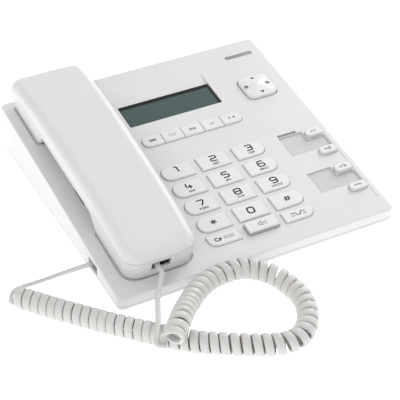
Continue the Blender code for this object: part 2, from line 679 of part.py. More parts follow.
# ---------------------------------------------------------------- inside the base
def add_inner_parts():
    left = KEY_FIELD_U - 1.5 * KEY_PITCH_U - 0.0015
    right = MEMORY_U + MEMORY_WIDTH / 2 + FLANGE + 0.0006
    near = FUNCTION_ROW_V - FUNCTION_KEY_HEIGHT / 2 - FLANGE - 0.0018
    turn_u = NAV_U - NAV_SIZE / 2 - 0.004
    turn_v = SOFT_FIELD_V + SOFT_HEIGHT / 2 + FLANGE + 0.0010
    far = NAV_V + NAV_SIZE / 2 + 0.003
    mat = [(left, near), (right, near), (right, far), (turn_u, far), (turn_u, turn_v),
           (left, turn_v)]
    plate("keypad_mat", mat, -MAT_TOP - MAT_THICK, -MAT_TOP, SILICONE, parent=deck)
    board_far = DISPLAY_V + DISPLAY_HEIGHT / 2 + 0.004
    board = [(left - 0.001, near), (right, near), (right, board_far),
             (left - 0.001, board_far)]
    plate("main_board", board, -BOARD_TOP - BOARD_THICK, -BOARD_TOP, BOARD, parent=deck)
    turned("loudspeaker", [(0.0090, -0.0125), (0.0090, -0.0085), (0.0100, -0.0075),
                           (SPEAKER_RADIUS - 0.002, -WALL - TOUCH - 0.002),
                           (SPEAKER_RADIUS, -WALL - TOUCH - 0.0015),
                           (SPEAKER_RADIUS, -WALL - TOUCH)],
           BLACK_PLASTIC, (HANDSET_U - 0.0045, SPEAKER_V, 0.0), deck)
    top = HANDSET_FLOOR - TOUCH
    turned("hook_button", [(HOOK_RADIUS + FLANGE, -WALL - TOUCH - HOOK_TRAVEL - FLANGE),
                           (HOOK_RADIUS + FLANGE, -WALL - TOUCH - HOOK_TRAVEL),
                           (HOOK_RADIUS, -WALL - TOUCH - HOOK_TRAVEL),
                           (HOOK_RADIUS, top - 0.0006), (HOOK_RADIUS - 0.0006, top)],
           WHITE_KEY, (HANDSET_U, HOOK_V, 0.0), deck, 20)
    block("hook_switch", (0.0120, 0.0060, 0.0065),
          (HANDSET_U, HOOK_V, -WALL - HOOK_TRAVEL - FLANGE - 2 * TOUCH - 0.00325),
          BLACK_PLASTIC, deck)


# ---------------------------------------------------------------- curly cord
COIL_REST = COIL_DIAMETER / 2 + 0.0001      # middle of a coil that lies on the table
LEAD_REST = STRAND / 2 + 0.0001
LEAD_END = 0.0040
STACKED = COIL_REST + COIL_DIAMETER + TOUCH + 0.0006

# Middle of the coiled stretch, from its handset end to its base end, seen from the base's
# front left corner: (right, rear, height).
COIL_ROUTE = (
    (0.0110, -0.0525, STACKED), (0.0190, -0.0440, STACKED), (0.0265, -0.0345, 0.0190),
    (0.0348, -0.0250, 0.0150), (0.0440, -0.0165, 0.0132), (0.0550, -0.0104, 0.0128),
    (0.0670, -0.0080, 0.0128), (0.0790, -0.0086, 0.0124), (0.0890, -0.0140, 0.0112),
    (0.0968, -0.0225, 0.0095), (0.1012, -0.0335, 0.0078), (0.1022, -0.0455, COIL_REST),
    (0.0986, -0.0572, COIL_REST), (0.0922, -0.0670, COIL_REST), (0.0832, -0.0735, COIL_REST),
    (0.0720, -0.0740, COIL_REST), (0.0590, -0.0688, COIL_REST), (0.0438, -0.0600, COIL_REST),
    (0.0290, -0.0505, COIL_REST), (0.0171, -0.0405, COIL_REST), (0.0062, -0.0297, COIL_REST),
    (-0.0048, -0.0185, COIL_REST), (-0.0158, -0.0067, COIL_REST),
    (-0.0267, 0.0058, COIL_REST), (-0.0374, 0.0183, COIL_REST),
    (-0.0455, 0.0285, COIL_REST), (-0.0501, 0.0344, COIL_REST))

HANDSET_LEAD_ROUTE = (
    (0.0022, -0.0588, 0.0214), (0.0000, -0.0540, 0.0202), (0.0028, -0.0470, 0.0186),
    (0.0075, -0.0385, 0.0173), (0.0123, -0.0290, 0.0162), (0.0168, -0.0195, 0.0158),
    (0.0213, -0.0105, 0.0165), (0.0262, -0.0038, 0.0182), (0.0298, 0.0018, 0.0203))

BASE_LEAD_ROUTE = (
    (-0.0531, 0.0414, 0.0056), (-0.0509, 0.0459, 0.0038), (-0.0450, 0.0484, 0.0024),
    (-0.0365, 0.0492, LEAD_REST), (-0.0270, 0.0494, LEAD_REST), (-0.0190, 0.0488, 0.0026),
    (-0.0115, 0.0458, 0.0054))


def smooth_route(route, spacing):
    """Points along a smooth curve through the route's points, about spacing apart."""
    knots = [Vector(point) for point in route]
    knots = [2 * knots[0] - knots[1]] + knots + [2 * knots[-1] - knots[-2]]
    dense = []
    for a, b, c, d in zip(knots, knots[1:], knots[2:], knots[3:]):
        for step in range(24):
            t = step / 24
            dense.append(0.5 * ((2 * b) + (c - a) * t + (2 * a - 5 * b + 4 * c - d) * t ** 2
                                + (3 * b - a - 3 * c + d) * t ** 3))
    dense.append(knots[-2])
    total = sum((q - p).length for p, q in zip(dense, dense[1:]))
    count = max(2, round(total / spacing))
    picked = [dense[0]]
    walked = 0.0
    for p, q in zip(dense, dense[1:]):
        length = (q - p).length
        while len(picked) < count and walked + length >= total * len(picked) / count:
            share = (total * len(picked) / count - walked) / length
            picked.append(p.lerp(q, share))
        walked += length
    return picked + [dense[-1]]


def add_cord(name, points, diameter, resolution):
    curve = bpy.data.curves.new(name, "CURVE")
    curve.dimensions = "3D"
    curve.bevel_depth = diameter / 2
    curve.bevel_resolution = resolution
    curve.use_fill_caps = True
    spline = curve.splines.new("POLY")
    spline.points.add(len(points) - 1)
    for place, point in zip(spline.points, points):
        place.co = (*point, 1.0)
    curve.materials.append(WHITE_CORD)
    cord = bpy.data.objects.new(name, curve)
    bpy.context.collection.objects.link(cord)


def from_corner(point):
    return Vector((LEFT_X + point[0], FRONT_Y + point[1], point[2]))


def lead_path(start, out, route, plug, inward):
    """Smooth route with a short straight run at each end."""
    bend = [start + out * LEAD_END] + [from_corner(point) for point in route]
    bend.append(plug - inward * LEAD_END)
    return [start] + smooth_route(bend, 2.2 * STRAND) + [plug]


def add_cords():
    coil = [from_corner(point) for point in COIL_ROUTE]
    add_cord("cord_coil", smooth_route(coil, 0.0052), COIL_DIAMETER, 3)
    out = (coil[0] - coil[1]).normalized()
    inward = Vector((0.0, cos(TILT), sin(TILT)))
    plug = deck_to_world(HANDSET_U + HANDSET_PLUG_ASIDE, HANDSET_V + PLUG_INSET - TOUCH,
                         HANDSET_SOCKET_W)
    lead = lead_path(coil[0] + out * TOUCH, out, HANDSET_LEAD_ROUTE, plug, inward)
    add_cord("cord_lead_handset", lead, STRAND, 2)
    out = (coil[-1] - coil[-2]).normalized()
    inward = Vector((1.0, 0.0, 0.0))
    plug = Vector((LEFT_X + BASE_PLUG_INSET - TOUCH, CORD_JACK_Y, CORD_JACK_Z))
    lead = lead_path(coil[-1] + out * TOUCH, out, BASE_LEAD_ROUTE, plug, inward)
    add_cord("cord_lead_base", lead, STRAND, 2)


# ---------------------------------------------------------------- assembly
openings = add_key_field()
openings += add_soft_keys()
openings += add_memory_keys()
openings += add_cards()
openings += add_display()
openings += add_indicator()
openings += add_nav_key()
add_top_cover(openings)
add_bottom_cover()
add_inner_parts()
add_handset()
add_sockets()
add_cords()
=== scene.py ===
# %% [markdown]
# # A corded desk telephone, dressed for rendering
#
# The solids of the telephone already exist: a base of two covers, a handset, keys, sockets
# and a curly cord. This lesson gives them their surfaces: softened edges, moulded plastic,
# printed digits, a display, and a wound cord in place of the plain tube that stands for it.
# Everything is in metres, +Z is up, and the origin is on the table under the base.

import json
from math import atan2, cos, pi, radians, sin, sqrt

import bmesh
import bpy
import numpy as np
from mathutils import Matrix, Vector
from mathutils.bvhtree import BVHTree


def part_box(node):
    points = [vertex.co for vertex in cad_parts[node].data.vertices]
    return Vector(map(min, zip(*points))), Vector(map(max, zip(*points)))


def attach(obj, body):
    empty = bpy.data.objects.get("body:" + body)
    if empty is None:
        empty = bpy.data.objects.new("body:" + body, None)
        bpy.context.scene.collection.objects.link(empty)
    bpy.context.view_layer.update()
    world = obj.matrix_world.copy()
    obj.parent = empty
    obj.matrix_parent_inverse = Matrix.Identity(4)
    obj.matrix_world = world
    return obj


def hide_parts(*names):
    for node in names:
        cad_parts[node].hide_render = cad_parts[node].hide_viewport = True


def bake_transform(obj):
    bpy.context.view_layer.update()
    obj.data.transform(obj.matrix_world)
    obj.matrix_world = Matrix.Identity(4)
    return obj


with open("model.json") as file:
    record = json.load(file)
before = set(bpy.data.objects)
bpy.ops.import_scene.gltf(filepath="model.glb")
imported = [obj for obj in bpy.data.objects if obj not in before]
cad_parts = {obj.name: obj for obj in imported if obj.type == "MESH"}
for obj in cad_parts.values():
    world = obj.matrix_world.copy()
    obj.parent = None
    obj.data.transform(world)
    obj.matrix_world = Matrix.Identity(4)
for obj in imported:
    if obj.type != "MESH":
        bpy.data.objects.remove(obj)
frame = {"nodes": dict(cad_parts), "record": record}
solids = frame["nodes"]
body_of_solid = {node: body for body, members in
                 frame["record"]["behaviour"]["bodies"].items() for node in members}
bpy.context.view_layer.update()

# %% [markdown]
# ## Places on the sloping top
#
# The top of the base, the deck, leans 7.5 degrees towards the user. Keys, display and cards
# are easier to place along the deck than in world coordinates. `DECK` is the matrix that
# takes (right, up the slope, off the surface) to the world. A piece is modelled in deck
# coordinates and its mesh is then moved once, so the finished object stays at the origin.

# %% Deck coordinates
TILT = radians(7.5)
FRONT_HEIGHT = 0.011
case_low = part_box("base_top_cover")[0]
DECK = (Matrix.Translation((case_low.x, case_low.y, FRONT_HEIGHT))
        @ Matrix.Rotation(TILT, 4, "X"))
TO_DECK = DECK.inverted()
DECK_UP = (DECK.to_3x3() @ Vector((0, 0, 1))).normalized()


def on_deck(u, v, w=0.0):
    return DECK @ Vector((u, v, w))


def deck_middle(node):
    """Middle of a solid in deck coordinates, and its top there."""
    points = [TO_DECK @ v.co for v in solids[node].data.vertices]
    lows = [min(p[i] for p in points) for i in range(3)]
    highs = [max(p[i] for p in points) for i in range(3)]
    return Vector(((lows[0] + highs[0]) / 2, (lows[1] + highs[1]) / 2, highs[2]))


print("number key 5 sits at", [round(1000 * x, 1) for x in deck_middle("key_5")], "mm")

# %% [markdown]
# ## Camera
#
# A long lens from above and from the left front keeps the outlines nearly parallel, as in a
# catalogue view. The camera is aimed with a direction and an up vector, so that it has
# no roll. It comes first, because the cord has to lie inside its view.

# %% Camera
CAMERA_PLACE = (-0.3288, -0.6489, 0.5418)


def new_piece(name, data):
    """Object for a mesh, a camera or a lamp, put into the scene."""
    piece = bpy.data.objects.new(name, data)
    bpy.context.scene.collection.objects.link(piece)
    return piece


camera_data = bpy.data.cameras.new("catalogue_camera")
camera_data.lens = 118.2
camera_data.sensor_width = 36.0
camera = new_piece("catalogue_camera", camera_data)
look = Vector((0.3645, 0.7057, -0.6075)).normalized()
upward = Vector((0.2789, 0.5397, 0.7943)).normalized()
right = look.cross(upward)
camera.matrix_world = Matrix((*zip(right, upward, -look, CAMERA_PLACE), (0, 0, 0, 1)))
bpy.context.scene.camera = camera
print("lens", camera_data.lens, "mm")

# %% [markdown]
# ## The route of the cord
#
# A telephone cord leaves the base, runs along the table, is wound into a spring for most of
# its length, and ends in the handset. The route of its middle line is a list of places
# measured from the base's front left corner. A smooth curve is drawn through all of them.

# %% Route points
WOUND_WIDTH = 0.0053
LEAD_WIDTH = 0.0034
STRAND_THICKNESS = 0.0026
COIL_DIAMETER = 0.0140
REST = COIL_DIAMETER / 2 + 0.0001
LEAD_REST = 0.00175
STACKED = REST + COIL_DIAMETER + 0.0009
LEAD_END = 0.0040
HANDSET_U, HANDSET_V = 0.0342, 0.0080
PLUG_ASIDE, PLUG_DEPTH, PLUG_HEIGHT = -0.0040, 0.0030, 0.0092     # plug in the handset

COIL_ROUTE = (
    (0.0110, -0.0525, STACKED), (0.0190, -0.0440, STACKED), (0.0265, -0.0345, 0.0190),
    (0.0348, -0.0250, 0.0150), (0.0440, -0.0165, 0.0132), (0.0550, -0.0104, 0.0128),
    (0.0670, -0.0080, 0.0128), (0.0790, -0.0086, 0.0124), (0.0890, -0.0140, 0.0112),
    (0.0968, -0.0225, 0.0095), (0.1012, -0.0335, 0.0078), (0.1022, -0.0455, REST),
    (0.0986, -0.0572, REST), (0.0922, -0.0670, REST), (0.0832, -0.0735, REST),
    (0.0720, -0.0740, REST), (0.0590, -0.0688, REST), (0.0438, -0.0600, REST),
    (0.0290, -0.0505, REST), (0.0171, -0.0405, REST), (0.0062, -0.0297, REST),
    (-0.0048, -0.0185, REST), (-0.0158, -0.0067, REST), (-0.0267, 0.0058, REST),
    (-0.0374, 0.0183, REST), (-0.0455, 0.0285, REST), (-0.0501, 0.0344, REST))
HANDSET_LEAD_ROUTE = (
    (0.0022, -0.0588, 0.0214), (0.0000, -0.0540, 0.0202), (0.0028, -0.0470, 0.0186),
    (0.0075, -0.0385, 0.0173), (0.0123, -0.0290, 0.0162), (0.0168, -0.0195, 0.0158),
    (0.0213, -0.0105, 0.0165), (0.0262, -0.0038, 0.0182), (0.0298, 0.0018, 0.0203))
BASE_LEAD_ROUTE = (
    (-0.0531, 0.0414, 0.0056), (-0.0509, 0.0459, 0.0038), (-0.0450, 0.0484, 0.0024),
    (-0.0365, 0.0492, LEAD_REST), (-0.0270, 0.0494, LEAD_REST), (-0.0190, 0.0488, 0.0026),
    (-0.0115, 0.0458, 0.0054))


def from_corner(point):
    return Vector((case_low.x + point[0], case_low.y + point[1], point[2]))


coil_points = [from_corner(p) for p in COIL_ROUTE]
plug_low, plug_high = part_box("plug_base")
base_plug = Vector((plug_low.x, (plug_low.y + plug_high.y) / 2, (plug_low.z + plug_high.z) / 2))
handset_plug = on_deck(HANDSET_U + PLUG_ASIDE, HANDSET_V + PLUG_DEPTH, PLUG_HEIGHT)
into_base = Vector((1.0, 0.0, 0.0))
into_handset = Vector((0.0, cos(TILT), sin(TILT)))
base_end_out = (coil_points[-1] - coil_points[-2]).normalized()
handset_end_out = (coil_points[0] - coil_points[1]).normalized()
route = [base_plug, base_plug - into_base * LEAD_END]
route += [from_corner(p) for p in reversed(BASE_LEAD_ROUTE)]
route.append(coil_points[-1] + base_end_out * LEAD_END)
coil_starts = len(route)
route += list(reversed(coil_points))
coil_stops = len(route) - 1
route.append(coil_points[0] + handset_end_out * LEAD_END)
route += [from_corner(p) for p in HANDSET_LEAD_ROUTE]
route += [handset_plug - into_handset * LEAD_END, handset_plug]
print("route points:", len(route))

# %% [markdown]
# ## From points to a smooth middle line
#
# A Catmull-Rom spline passes through every point, which keeps the cord where it was put. It
# is sampled finely, and each sample knows how far along the cord it is. A frame, two
# directions at right angles to the line, is carried along without twisting (parallel
# transport), so nothing wound around the line jumps.

# %% Middle line
STEPS = 60
knots = np.array([2 * route[0] - route[1], *route, 2 * route[-1] - route[-2]])
blend_t = np.linspace(0, 1, STEPS, endpoint=False)[:, None]
runs = []
for a, b, c, d in zip(knots, knots[1:], knots[2:], knots[3:]):
    runs.append(0.5 * (2 * b + (c - a) * blend_t + (2 * a - 5 * b + 4 * c - d) * blend_t ** 2
                       + (3 * b - a - 3 * c + d) * blend_t ** 3))
middle = np.vstack([*runs, knots[-2][None]])
along = np.concatenate([[0.0], np.cumsum(np.linalg.norm(np.diff(middle, axis=0), axis=1))])
coil_from, coil_to = along[coil_starts * STEPS], along[coil_stops * STEPS]
tangent = np.gradient(middle, along, axis=0)
tangent /= np.linalg.norm(tangent, axis=1)[:, None]
side = np.zeros_like(middle)
side[-1] = (1.0, 0.0, 0.0)          # the plug in the handset is wide along X
for i in range(len(middle) - 2, -1, -1):
    carried = side[i + 1] - tangent[i] * side[i + 1].dot(tangent[i])
    side[i] = carried / np.linalg.norm(carried)
print(f"middle line {along[-1]:.3f} m, coiled from {coil_from:.3f} to {coil_to:.3f} m")

# %% [markdown]
# The plug in the base is wide along Y, so the flat strand turns a little on its way from the
# coil to the base. The angle is spread over that whole lead.

# %% Twist of the base lead
wide = np.array((0.0, 1.0, 0.0))
start_across = np.cross(tangent[0], side[0])
twist = atan2(wide.dot(start_across), wide.dot(side[0]))
if twist > pi / 2:
    twist -= pi
if twist < -pi / 2:
    twist += pi
ease = np.clip(1 - along / coil_from, 0, 1)
angle = twist * ease * ease * (3 - 2 * ease)
across = np.cross(tangent, side)
side = side * np.cos(angle)[:, None] + across * np.sin(angle)[:, None]
print(f"the base lead turns {twist * 180 / pi:.0f} degrees")

# %% [markdown]
# ## Winding
#
# The strand circles the middle line at a fixed radius, and its phase grows with the distance
# travelled divided by the pitch. Old cords are never even, so the pitch breathes a little.
# Past both ends of the coil the winding slows down and stops while the radius sinks, so the
# last turn opens out into the straight lead. The strand is flat: it is wide along the
# coil's axis where it is wound.

# %% Wound strand
WIND_RADIUS = (COIL_DIAMETER - STRAND_THICKNESS) / 2
OPEN_OUT = 0.0100       # the winding stops over this distance past the coil
SINK = 0.0190           # the radius sinks over this distance
SAMPLE_STEP = 0.00030   # distance between samples along the coil
TABLE_GAP = 0.0001      # the strand stays this far above the table


def at(distances, values):
    return np.stack([np.interp(distances, along, values[:, i]) for i in range(3)], axis=1)


def unit(vectors):
    return vectors / np.linalg.norm(vectors, axis=1)[:, None]


lead_in = np.linspace(0, coil_from, 190, endpoint=False)
wound = np.linspace(coil_from, coil_to, round((coil_to - coil_from) / SAMPLE_STEP),
                    endpoint=False)
lead_out = np.linspace(coil_to, along[-1], 260)
distances = np.concatenate([lead_in, wound, lead_out])
past_end = np.maximum(coil_from - distances, distances - coil_to)
swell = np.clip(1 - past_end / SINK, 0, 1)
swell = swell * swell * (3 - 2 * swell)
winding = np.clip(1 - past_end / OPEN_OUT, 0, 1)
tighten = np.clip((distances - coil_from - 0.09) / 0.06, 0, 1)
pitch = 0.0056 + 0.0008 * tighten
pitch *= 1 + 0.05 * np.sin(distances * 190) + 0.03 * np.sin(distances * 431 + 1.0)
rate = winding * winding / pitch
phase = np.concatenate([[0.0], np.cumsum(np.diff(distances) * rate[1:])]) * 2 * pi
line, forward, flat = at(distances, middle), unit(at(distances, tangent)), at(distances, side)
flat = unit(flat - forward * np.sum(flat * forward, axis=1)[:, None])
lift = np.cross(forward, flat)
radius = WIND_RADIUS * swell
strand = line + radius[:, None] * (flat * np.cos(phase)[:, None] + lift * np.sin(phase)[:, None])
turns = (phase[len(lead_in) + len(wound)] - phase[len(lead_in)]) / (2 * pi)
strand_along = np.concatenate([[0.0], np.cumsum(np.linalg.norm(np.diff(strand, axis=0), axis=1))])
print(f"{turns:.0f} turns, strand {strand_along[-1]:.2f} m")

# %% [markdown]
# ## Sweeping the flat section
#
# A ring of points in the shape of an oval is set around every sample and joined to the next.
# The long axis of the oval follows the coil's axis where the strand is wound, and the plug's
# wide side on the leads. The rings carry a UV map, one unit per metre along the strand, so
# that the vinyl's fine draw marks can follow it.

# %% Cord meshes
strand_ahead = unit(np.gradient(strand, axis=0))
lying = winding[:, None]
wide_axis = forward * lying + flat * (1 - lying)
wide_axis = unit(wide_axis - strand_ahead * np.sum(wide_axis * strand_ahead, axis=1)[:, None])
thin_axis = np.cross(strand_ahead, wide_axis)
strand_width = LEAD_WIDTH + (WOUND_WIDTH - LEAD_WIDTH) * winding
reach_down = np.hypot(wide_axis[:, 2] * strand_width, thin_axis[:, 2] * STRAND_THICKNESS) / 2
short_by = np.clip(TABLE_GAP + reach_down - strand[:, 2], 0, None)
short_by = np.max([np.roll(short_by, shift) for shift in range(-6, 7)], axis=0)
raised = np.convolve(short_by, np.ones(9) / 9, mode="same")
strand[:, 2] += raised
print(f"lifted off the table by up to {1000 * raised.max():.2f} mm")

# %% Mesh helpers
SIDES = 14      # points round the strand


def mesh_from(mesh_data, name):
    """Stores an editable mesh as a plain one."""
    mesh = bpy.data.meshes.new(name)
    mesh_data.to_mesh(mesh)
    mesh_data.free()
    return mesh


def skinned(mesh_data, rings):
    """Joins each ring to the next and closes both ends; returns the faces of the sides."""
    walls = []
    for near, far in zip(rings, rings[1:]):
        for k in range(len(near)):
            n = (k + 1) % len(near)
            walls.append(mesh_data.faces.new((near[k], near[n], far[n], far[k])))
    mesh_data.faces.new(list(reversed(rings[0])))
    mesh_data.faces.new(rings[-1])
    return walls


print("mesh helpers ready")

# %% Sweep the strand
def swept(name, first, last):
    """Tube through the samples first to last, with a rounded oval section and closed ends."""
    mesh_data = bmesh.new()
    uv = mesh_data.loops.layers.uv.new("along_strand")
    rings = []
    for i in range(first, last):
        ring = []
        for k in range(SIDES):
            turn = 2 * pi * k / SIDES
            across = abs(cos(turn)) ** 0.6 * (1 if cos(turn) > 0 else -1)
            over = abs(sin(turn)) ** 0.8 * (1 if sin(turn) > 0 else -1)
            offset = (wide_axis[i] * strand_width[i] / 2 * across
                      + thin_axis[i] * STRAND_THICKNESS / 2 * over)
            ring.append(mesh_data.verts.new(strand[i] + offset))
        rings.append(ring)
    for number, face in enumerate(skinned(mesh_data, rings)):
        i, k = divmod(number, SIDES)
        face.smooth = True
        places = ((i, k), (i, k + 1), (i + 1, k + 1), (i + 1, k))
        for corner, (step, part) in zip(face.loops, places):
            corner[uv].uv = (part / SIDES, strand_along[first + step])
    return new_piece(name, mesh_from(mesh_data, name))


joint = len(lead_in) + len(wound)
curly_cord = swept("curly_cord", 0, joint + 1)
handset_lead = swept("handset_lead", joint, len(strand))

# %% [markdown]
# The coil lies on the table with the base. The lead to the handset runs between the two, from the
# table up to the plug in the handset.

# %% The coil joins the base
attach(curly_cord, "base")
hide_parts("cord_coil", "cord_lead_base")
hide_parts("cord_lead_handset")
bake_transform(handset_lead)

# %% [markdown]
# ## Two effects that every plastic shares
#
# Moulded plastic is never one flat value. The mould leaves a fine grain, the colour drifts
# by a per cent or two over a large panel, and edges are rubbed smoother by hands and
# sleeves. Each effect is a node group with named inputs, built once. The groups give out
# colours, masks and heights; the shader itself stays in each material.

# %% Helper for node groups
def shader_group(name, inputs, outputs):
    """Empty shader node group with the named sockets; returns it and its two end nodes."""
    group = bpy.data.node_groups.new(name, "ShaderNodeTree")
    for label, kind, value in inputs:
        socket = group.interface.new_socket(label, in_out="INPUT", socket_type=kind)
        socket.default_value = value
    for label, kind in outputs:
        group.interface.new_socket(label, in_out="OUTPUT", socket_type=kind)
    return group, group.nodes.new("NodeGroupInput"), group.nodes.new("NodeGroupOutput")


print("group helper ready")

# %% Node helpers
def fill(tree, node, **values):
    """Sets a node's inputs; a value is a plain one or another socket to link."""
    for label, value in values.items():
        socket = node.inputs[label.replace("_", " ")]
        if isinstance(value, bpy.types.NodeSocket):
            tree.links.new(value, socket)
        else:
            socket.default_value = value
    return node


def shader_node(tree, kind, **values):
    return fill(tree, tree.nodes.new("ShaderNode" + kind), **values)


def placed_group(tree, group, **values):
    node = tree.nodes.new("ShaderNodeGroup")
    node.node_tree = group
    return fill(tree, node, **values).outputs


def shader_math(tree, operation, first, second):
    """Math node; each operand is a number or a socket."""
    node = tree.nodes.new("ShaderNodeMath")
    node.operation = operation
    for socket, value in zip(node.inputs, (first, second)):
        if isinstance(value, (int, float)):
            socket.default_value = value
        else:
            tree.links.new(value, socket)
    return node.outputs[0]


def scaled(tree, colour, factor):
    """A colour, made lighter or darker by a socket's value."""
    node = tree.nodes.new("ShaderNodeVectorMath")
    node.operation = "SCALE"
    return fill(tree, node, Vector=colour, Scale=factor).outputs[0]


def noise(tree, vector, **values):
    return shader_node(tree, "TexNoise", Vector=vector, **values).outputs[0]


def on_object(tree):
    return tree.nodes.new("ShaderNodeTexCoord").outputs["Object"]


def on_uv(tree, name):
    node = tree.nodes.new("ShaderNodeUVMap")
    node.uv_map = name
    return node.outputs[0]


print("node helpers ready")

# %% Moulded grain
moulded, given, out = shader_group(
    "Moulded plastic",
    (("Colour", "NodeSocketColor", (0.6, 0.6, 0.6, 1)), ("Drift", "NodeSocketFloat", 0.02),
     ("Grain per metre", "NodeSocketFloat", 1600.0), ("Roughness", "NodeSocketFloat", 0.45),
     ("Roughness spread", "NodeSocketFloat", 0.1)),
    (("Colour", "NodeSocketColor"), ("Roughness", "NodeSocketFloat"),
     ("Height", "NodeSocketFloat")))
place = on_object(moulded)
fine = noise(moulded, place, Detail=3.0, Scale=given.outputs["Grain per metre"])
broad = noise(moulded, place, Scale=22.0, Detail=2.0)
smudge = noise(moulded, place, Scale=90.0, Detail=4.0)
centred = shader_math(moulded, "SUBTRACT", broad, 0.5)
amount = shader_math(moulded, "MULTIPLY", centred, given.outputs["Drift"])
factor = shader_math(moulded, "ADD", shader_math(moulded, "MULTIPLY", amount, 4.0), 1.0)
rubbed = shader_math(moulded, "SUBTRACT", smudge, 0.5)
spread = shader_math(moulded, "MULTIPLY", rubbed, given.outputs["Roughness spread"])
fill(moulded, out, Colour=scaled(moulded, given.outputs["Colour"], factor), Height=fine,
     Roughness=shader_math(moulded, "ADD", given.outputs["Roughness"], spread))
print("group:", moulded.name)

# %% [markdown]
# The second group finds outer edges from the pointiness of the surface, breaks the line up with
# noise, and gives a mask. The material uses it to make the edge a little smoother, as on a
# telephone that has been on a desk for some years, and a little lighter, which is a painted
# highlight along the edge.

# %% Edge wear and painted edge highlight
edge_wear_and_highlight, given, out = shader_group(
    "Rubbed edges and painted highlight",
    (("Start", "NodeSocketFloat", 0.52), ("Full", "NodeSocketFloat", 0.62),
     ("Patches per metre", "NodeSocketFloat", 160.0)),
    (("Mask", "NodeSocketFloat"),))
shape = edge_wear_and_highlight.nodes.new("ShaderNodeNewGeometry")
band = shader_node(edge_wear_and_highlight, "MapRange", Value=shape.outputs["Pointiness"],
                   From_Min=given.outputs["Start"], From_Max=given.outputs["Full"])
patches = noise(edge_wear_and_highlight, on_object(edge_wear_and_highlight), Scale=given.outputs["Patches per metre"])
fill(edge_wear_and_highlight, out, Mask=shader_math(edge_wear_and_highlight, "MULTIPLY", band.outputs[0], patches))
print("group:", edge_wear_and_highlight.name)

# %% [markdown]
# ## Finger polish
#
# A key is touched in its middle. Each key carries a UV map that runs from -1 to 1 across its
# top, so the distance from the middle is known everywhere, whatever the size of the key.

# %% Finger polish
polish, given, out = shader_group(
    "Finger polish", (("Reach", "NodeSocketFloat", 0.9),), (("Mask", "NodeSocketFloat"),))
distance = shader_node(polish, "VectorMath", Vector=on_uv(polish, "key_top"))
distance.operation = "LENGTH"
fade = shader_node(polish, "MapRange", Value=distance.outputs["Value"], To_Min=1.0, To_Max=0.0,
                   From_Max=given.outputs["Reach"])
fade.interpolation_type = "SMOOTHSTEP"
fill(polish, out, Mask=fade.outputs[0])
print("group:", polish.name)

# %% [markdown]
# ## The plastics
#
# One function builds every moulded plastic: the shared grain drives colour, roughness and a tiny
# bump, and the rubbed edge makes the roughness fall and carries a faint painted highlight. Keys
# add the finger polish. Plain values, such as the coat, are set on the shader's own sockets.

# %% Build a moulded plastic
def new_finish(name):
    """Empty material; returns it, its tree and its shader."""
    finish = bpy.data.materials.new(name)
    finish.use_nodes = True
    return finish, finish.node_tree, finish.node_tree.nodes["Principled BSDF"]


def plastic(name, colour, roughness, grain=1600.0, depth=0.00002, drift=0.02, spread=0.12,
            coat=0.0, edges=True, touched=False, metallic=0.0):
    finish, tree, shader = new_finish(name)
    base = placed_group(tree, moulded, Colour=(*colour, 1), Drift=drift, Grain_per_metre=grain,
                        Roughness=roughness, Roughness_spread=spread)
    rough, colour_out = base["Roughness"], base["Colour"]
    if edges:
        worn_edge_and_highlight_mask = placed_group(tree, edge_wear_and_highlight)["Mask"]
        rough = shader_math(tree, "SUBTRACT", rough, shader_math(tree, "MULTIPLY", worn_edge_and_highlight_mask, 0.25))
        # painted highlight: the edge mask lightens the colour by up to 5 per cent
        painted_edge_highlight = shader_math(tree, "MULTIPLY", worn_edge_and_highlight_mask, 0.05)
        colour_out = scaled(tree, colour_out, shader_math(tree, "ADD", painted_edge_highlight, 1.0))
    if touched:
        finger = placed_group(tree, polish)["Mask"]
        rough = shader_math(tree, "SUBTRACT", rough, shader_math(tree, "MULTIPLY", finger, 0.14))
    bump = shader_node(tree, "Bump", Strength=0.35, Distance=depth, Height=base["Height"])
    fill(tree, shader, Coat_Weight=coat, Coat_Roughness=0.12, Metallic=metallic,
         Normal=bump.outputs[0], Roughness=rough, Base_Color=colour_out)
    return finish


CASE = plastic("case_white", (0.640, 0.640, 0.645), 0.46, grain=1900, depth=0.00003)
KEY = plastic("key_plastic", (0.690, 0.690, 0.692), 0.40, grain=2600, depth=0.00001, touched=True)
HANDSET = plastic("handset_plastic", (0.640, 0.642, 0.642), 0.44, grain=1500, depth=0.00001,
                  coat=0.05, spread=0.10, edges=False)
BLACK = plastic("inner_black", (0.012, 0.012, 0.012), 0.42, edges=False)
PRINT = plastic("print_ink", (0.012, 0.012, 0.013), 0.75, grain=5000, edges=False)
GREY_PRINT = plastic("grey_print_ink", (0.20, 0.20, 0.205), 0.55, grain=5000, edges=False)
SKIRT = plastic("grey_skirt", (0.42, 0.42, 0.425), 0.38, edges=False)
LENS = plastic("indicator_grey", (0.20, 0.20, 0.205), 0.22, grain=900, coat=0.6, edges=False)
SILICONE = plastic("silicone_mat", (0.78, 0.78, 0.77), 0.62, edges=False)
RUBBER = plastic("soft_rubber", (0.035, 0.035, 0.035), 0.82, grain=1200, depth=0.00008,
                 edges=False)
CARD = plastic("name_card", (0.565, 0.565, 0.57), 0.75, grain=3200, drift=0.03, edges=False)
STEEL = plastic("plated_steel", (0.55, 0.55, 0.54), 0.28, grain=4000, metallic=1.0, edges=False)
GOLD = plastic("contact_gold", (0.80, 0.58, 0.22), 0.25, grain=4000, metallic=1.0, edges=False)
BOARD = plastic("board_laminate", (0.035, 0.17, 0.06), 0.35, coat=0.4, edges=False)
print("plastics:", len(bpy.data.materials))

# %% [markdown]
# ## Vinyl of the cord
#
# The cord is soft vinyl, drawn through a die, so its faint marks run along the strand. The
# noise is read from the strand's own UV map and stretched, and it follows every turn.

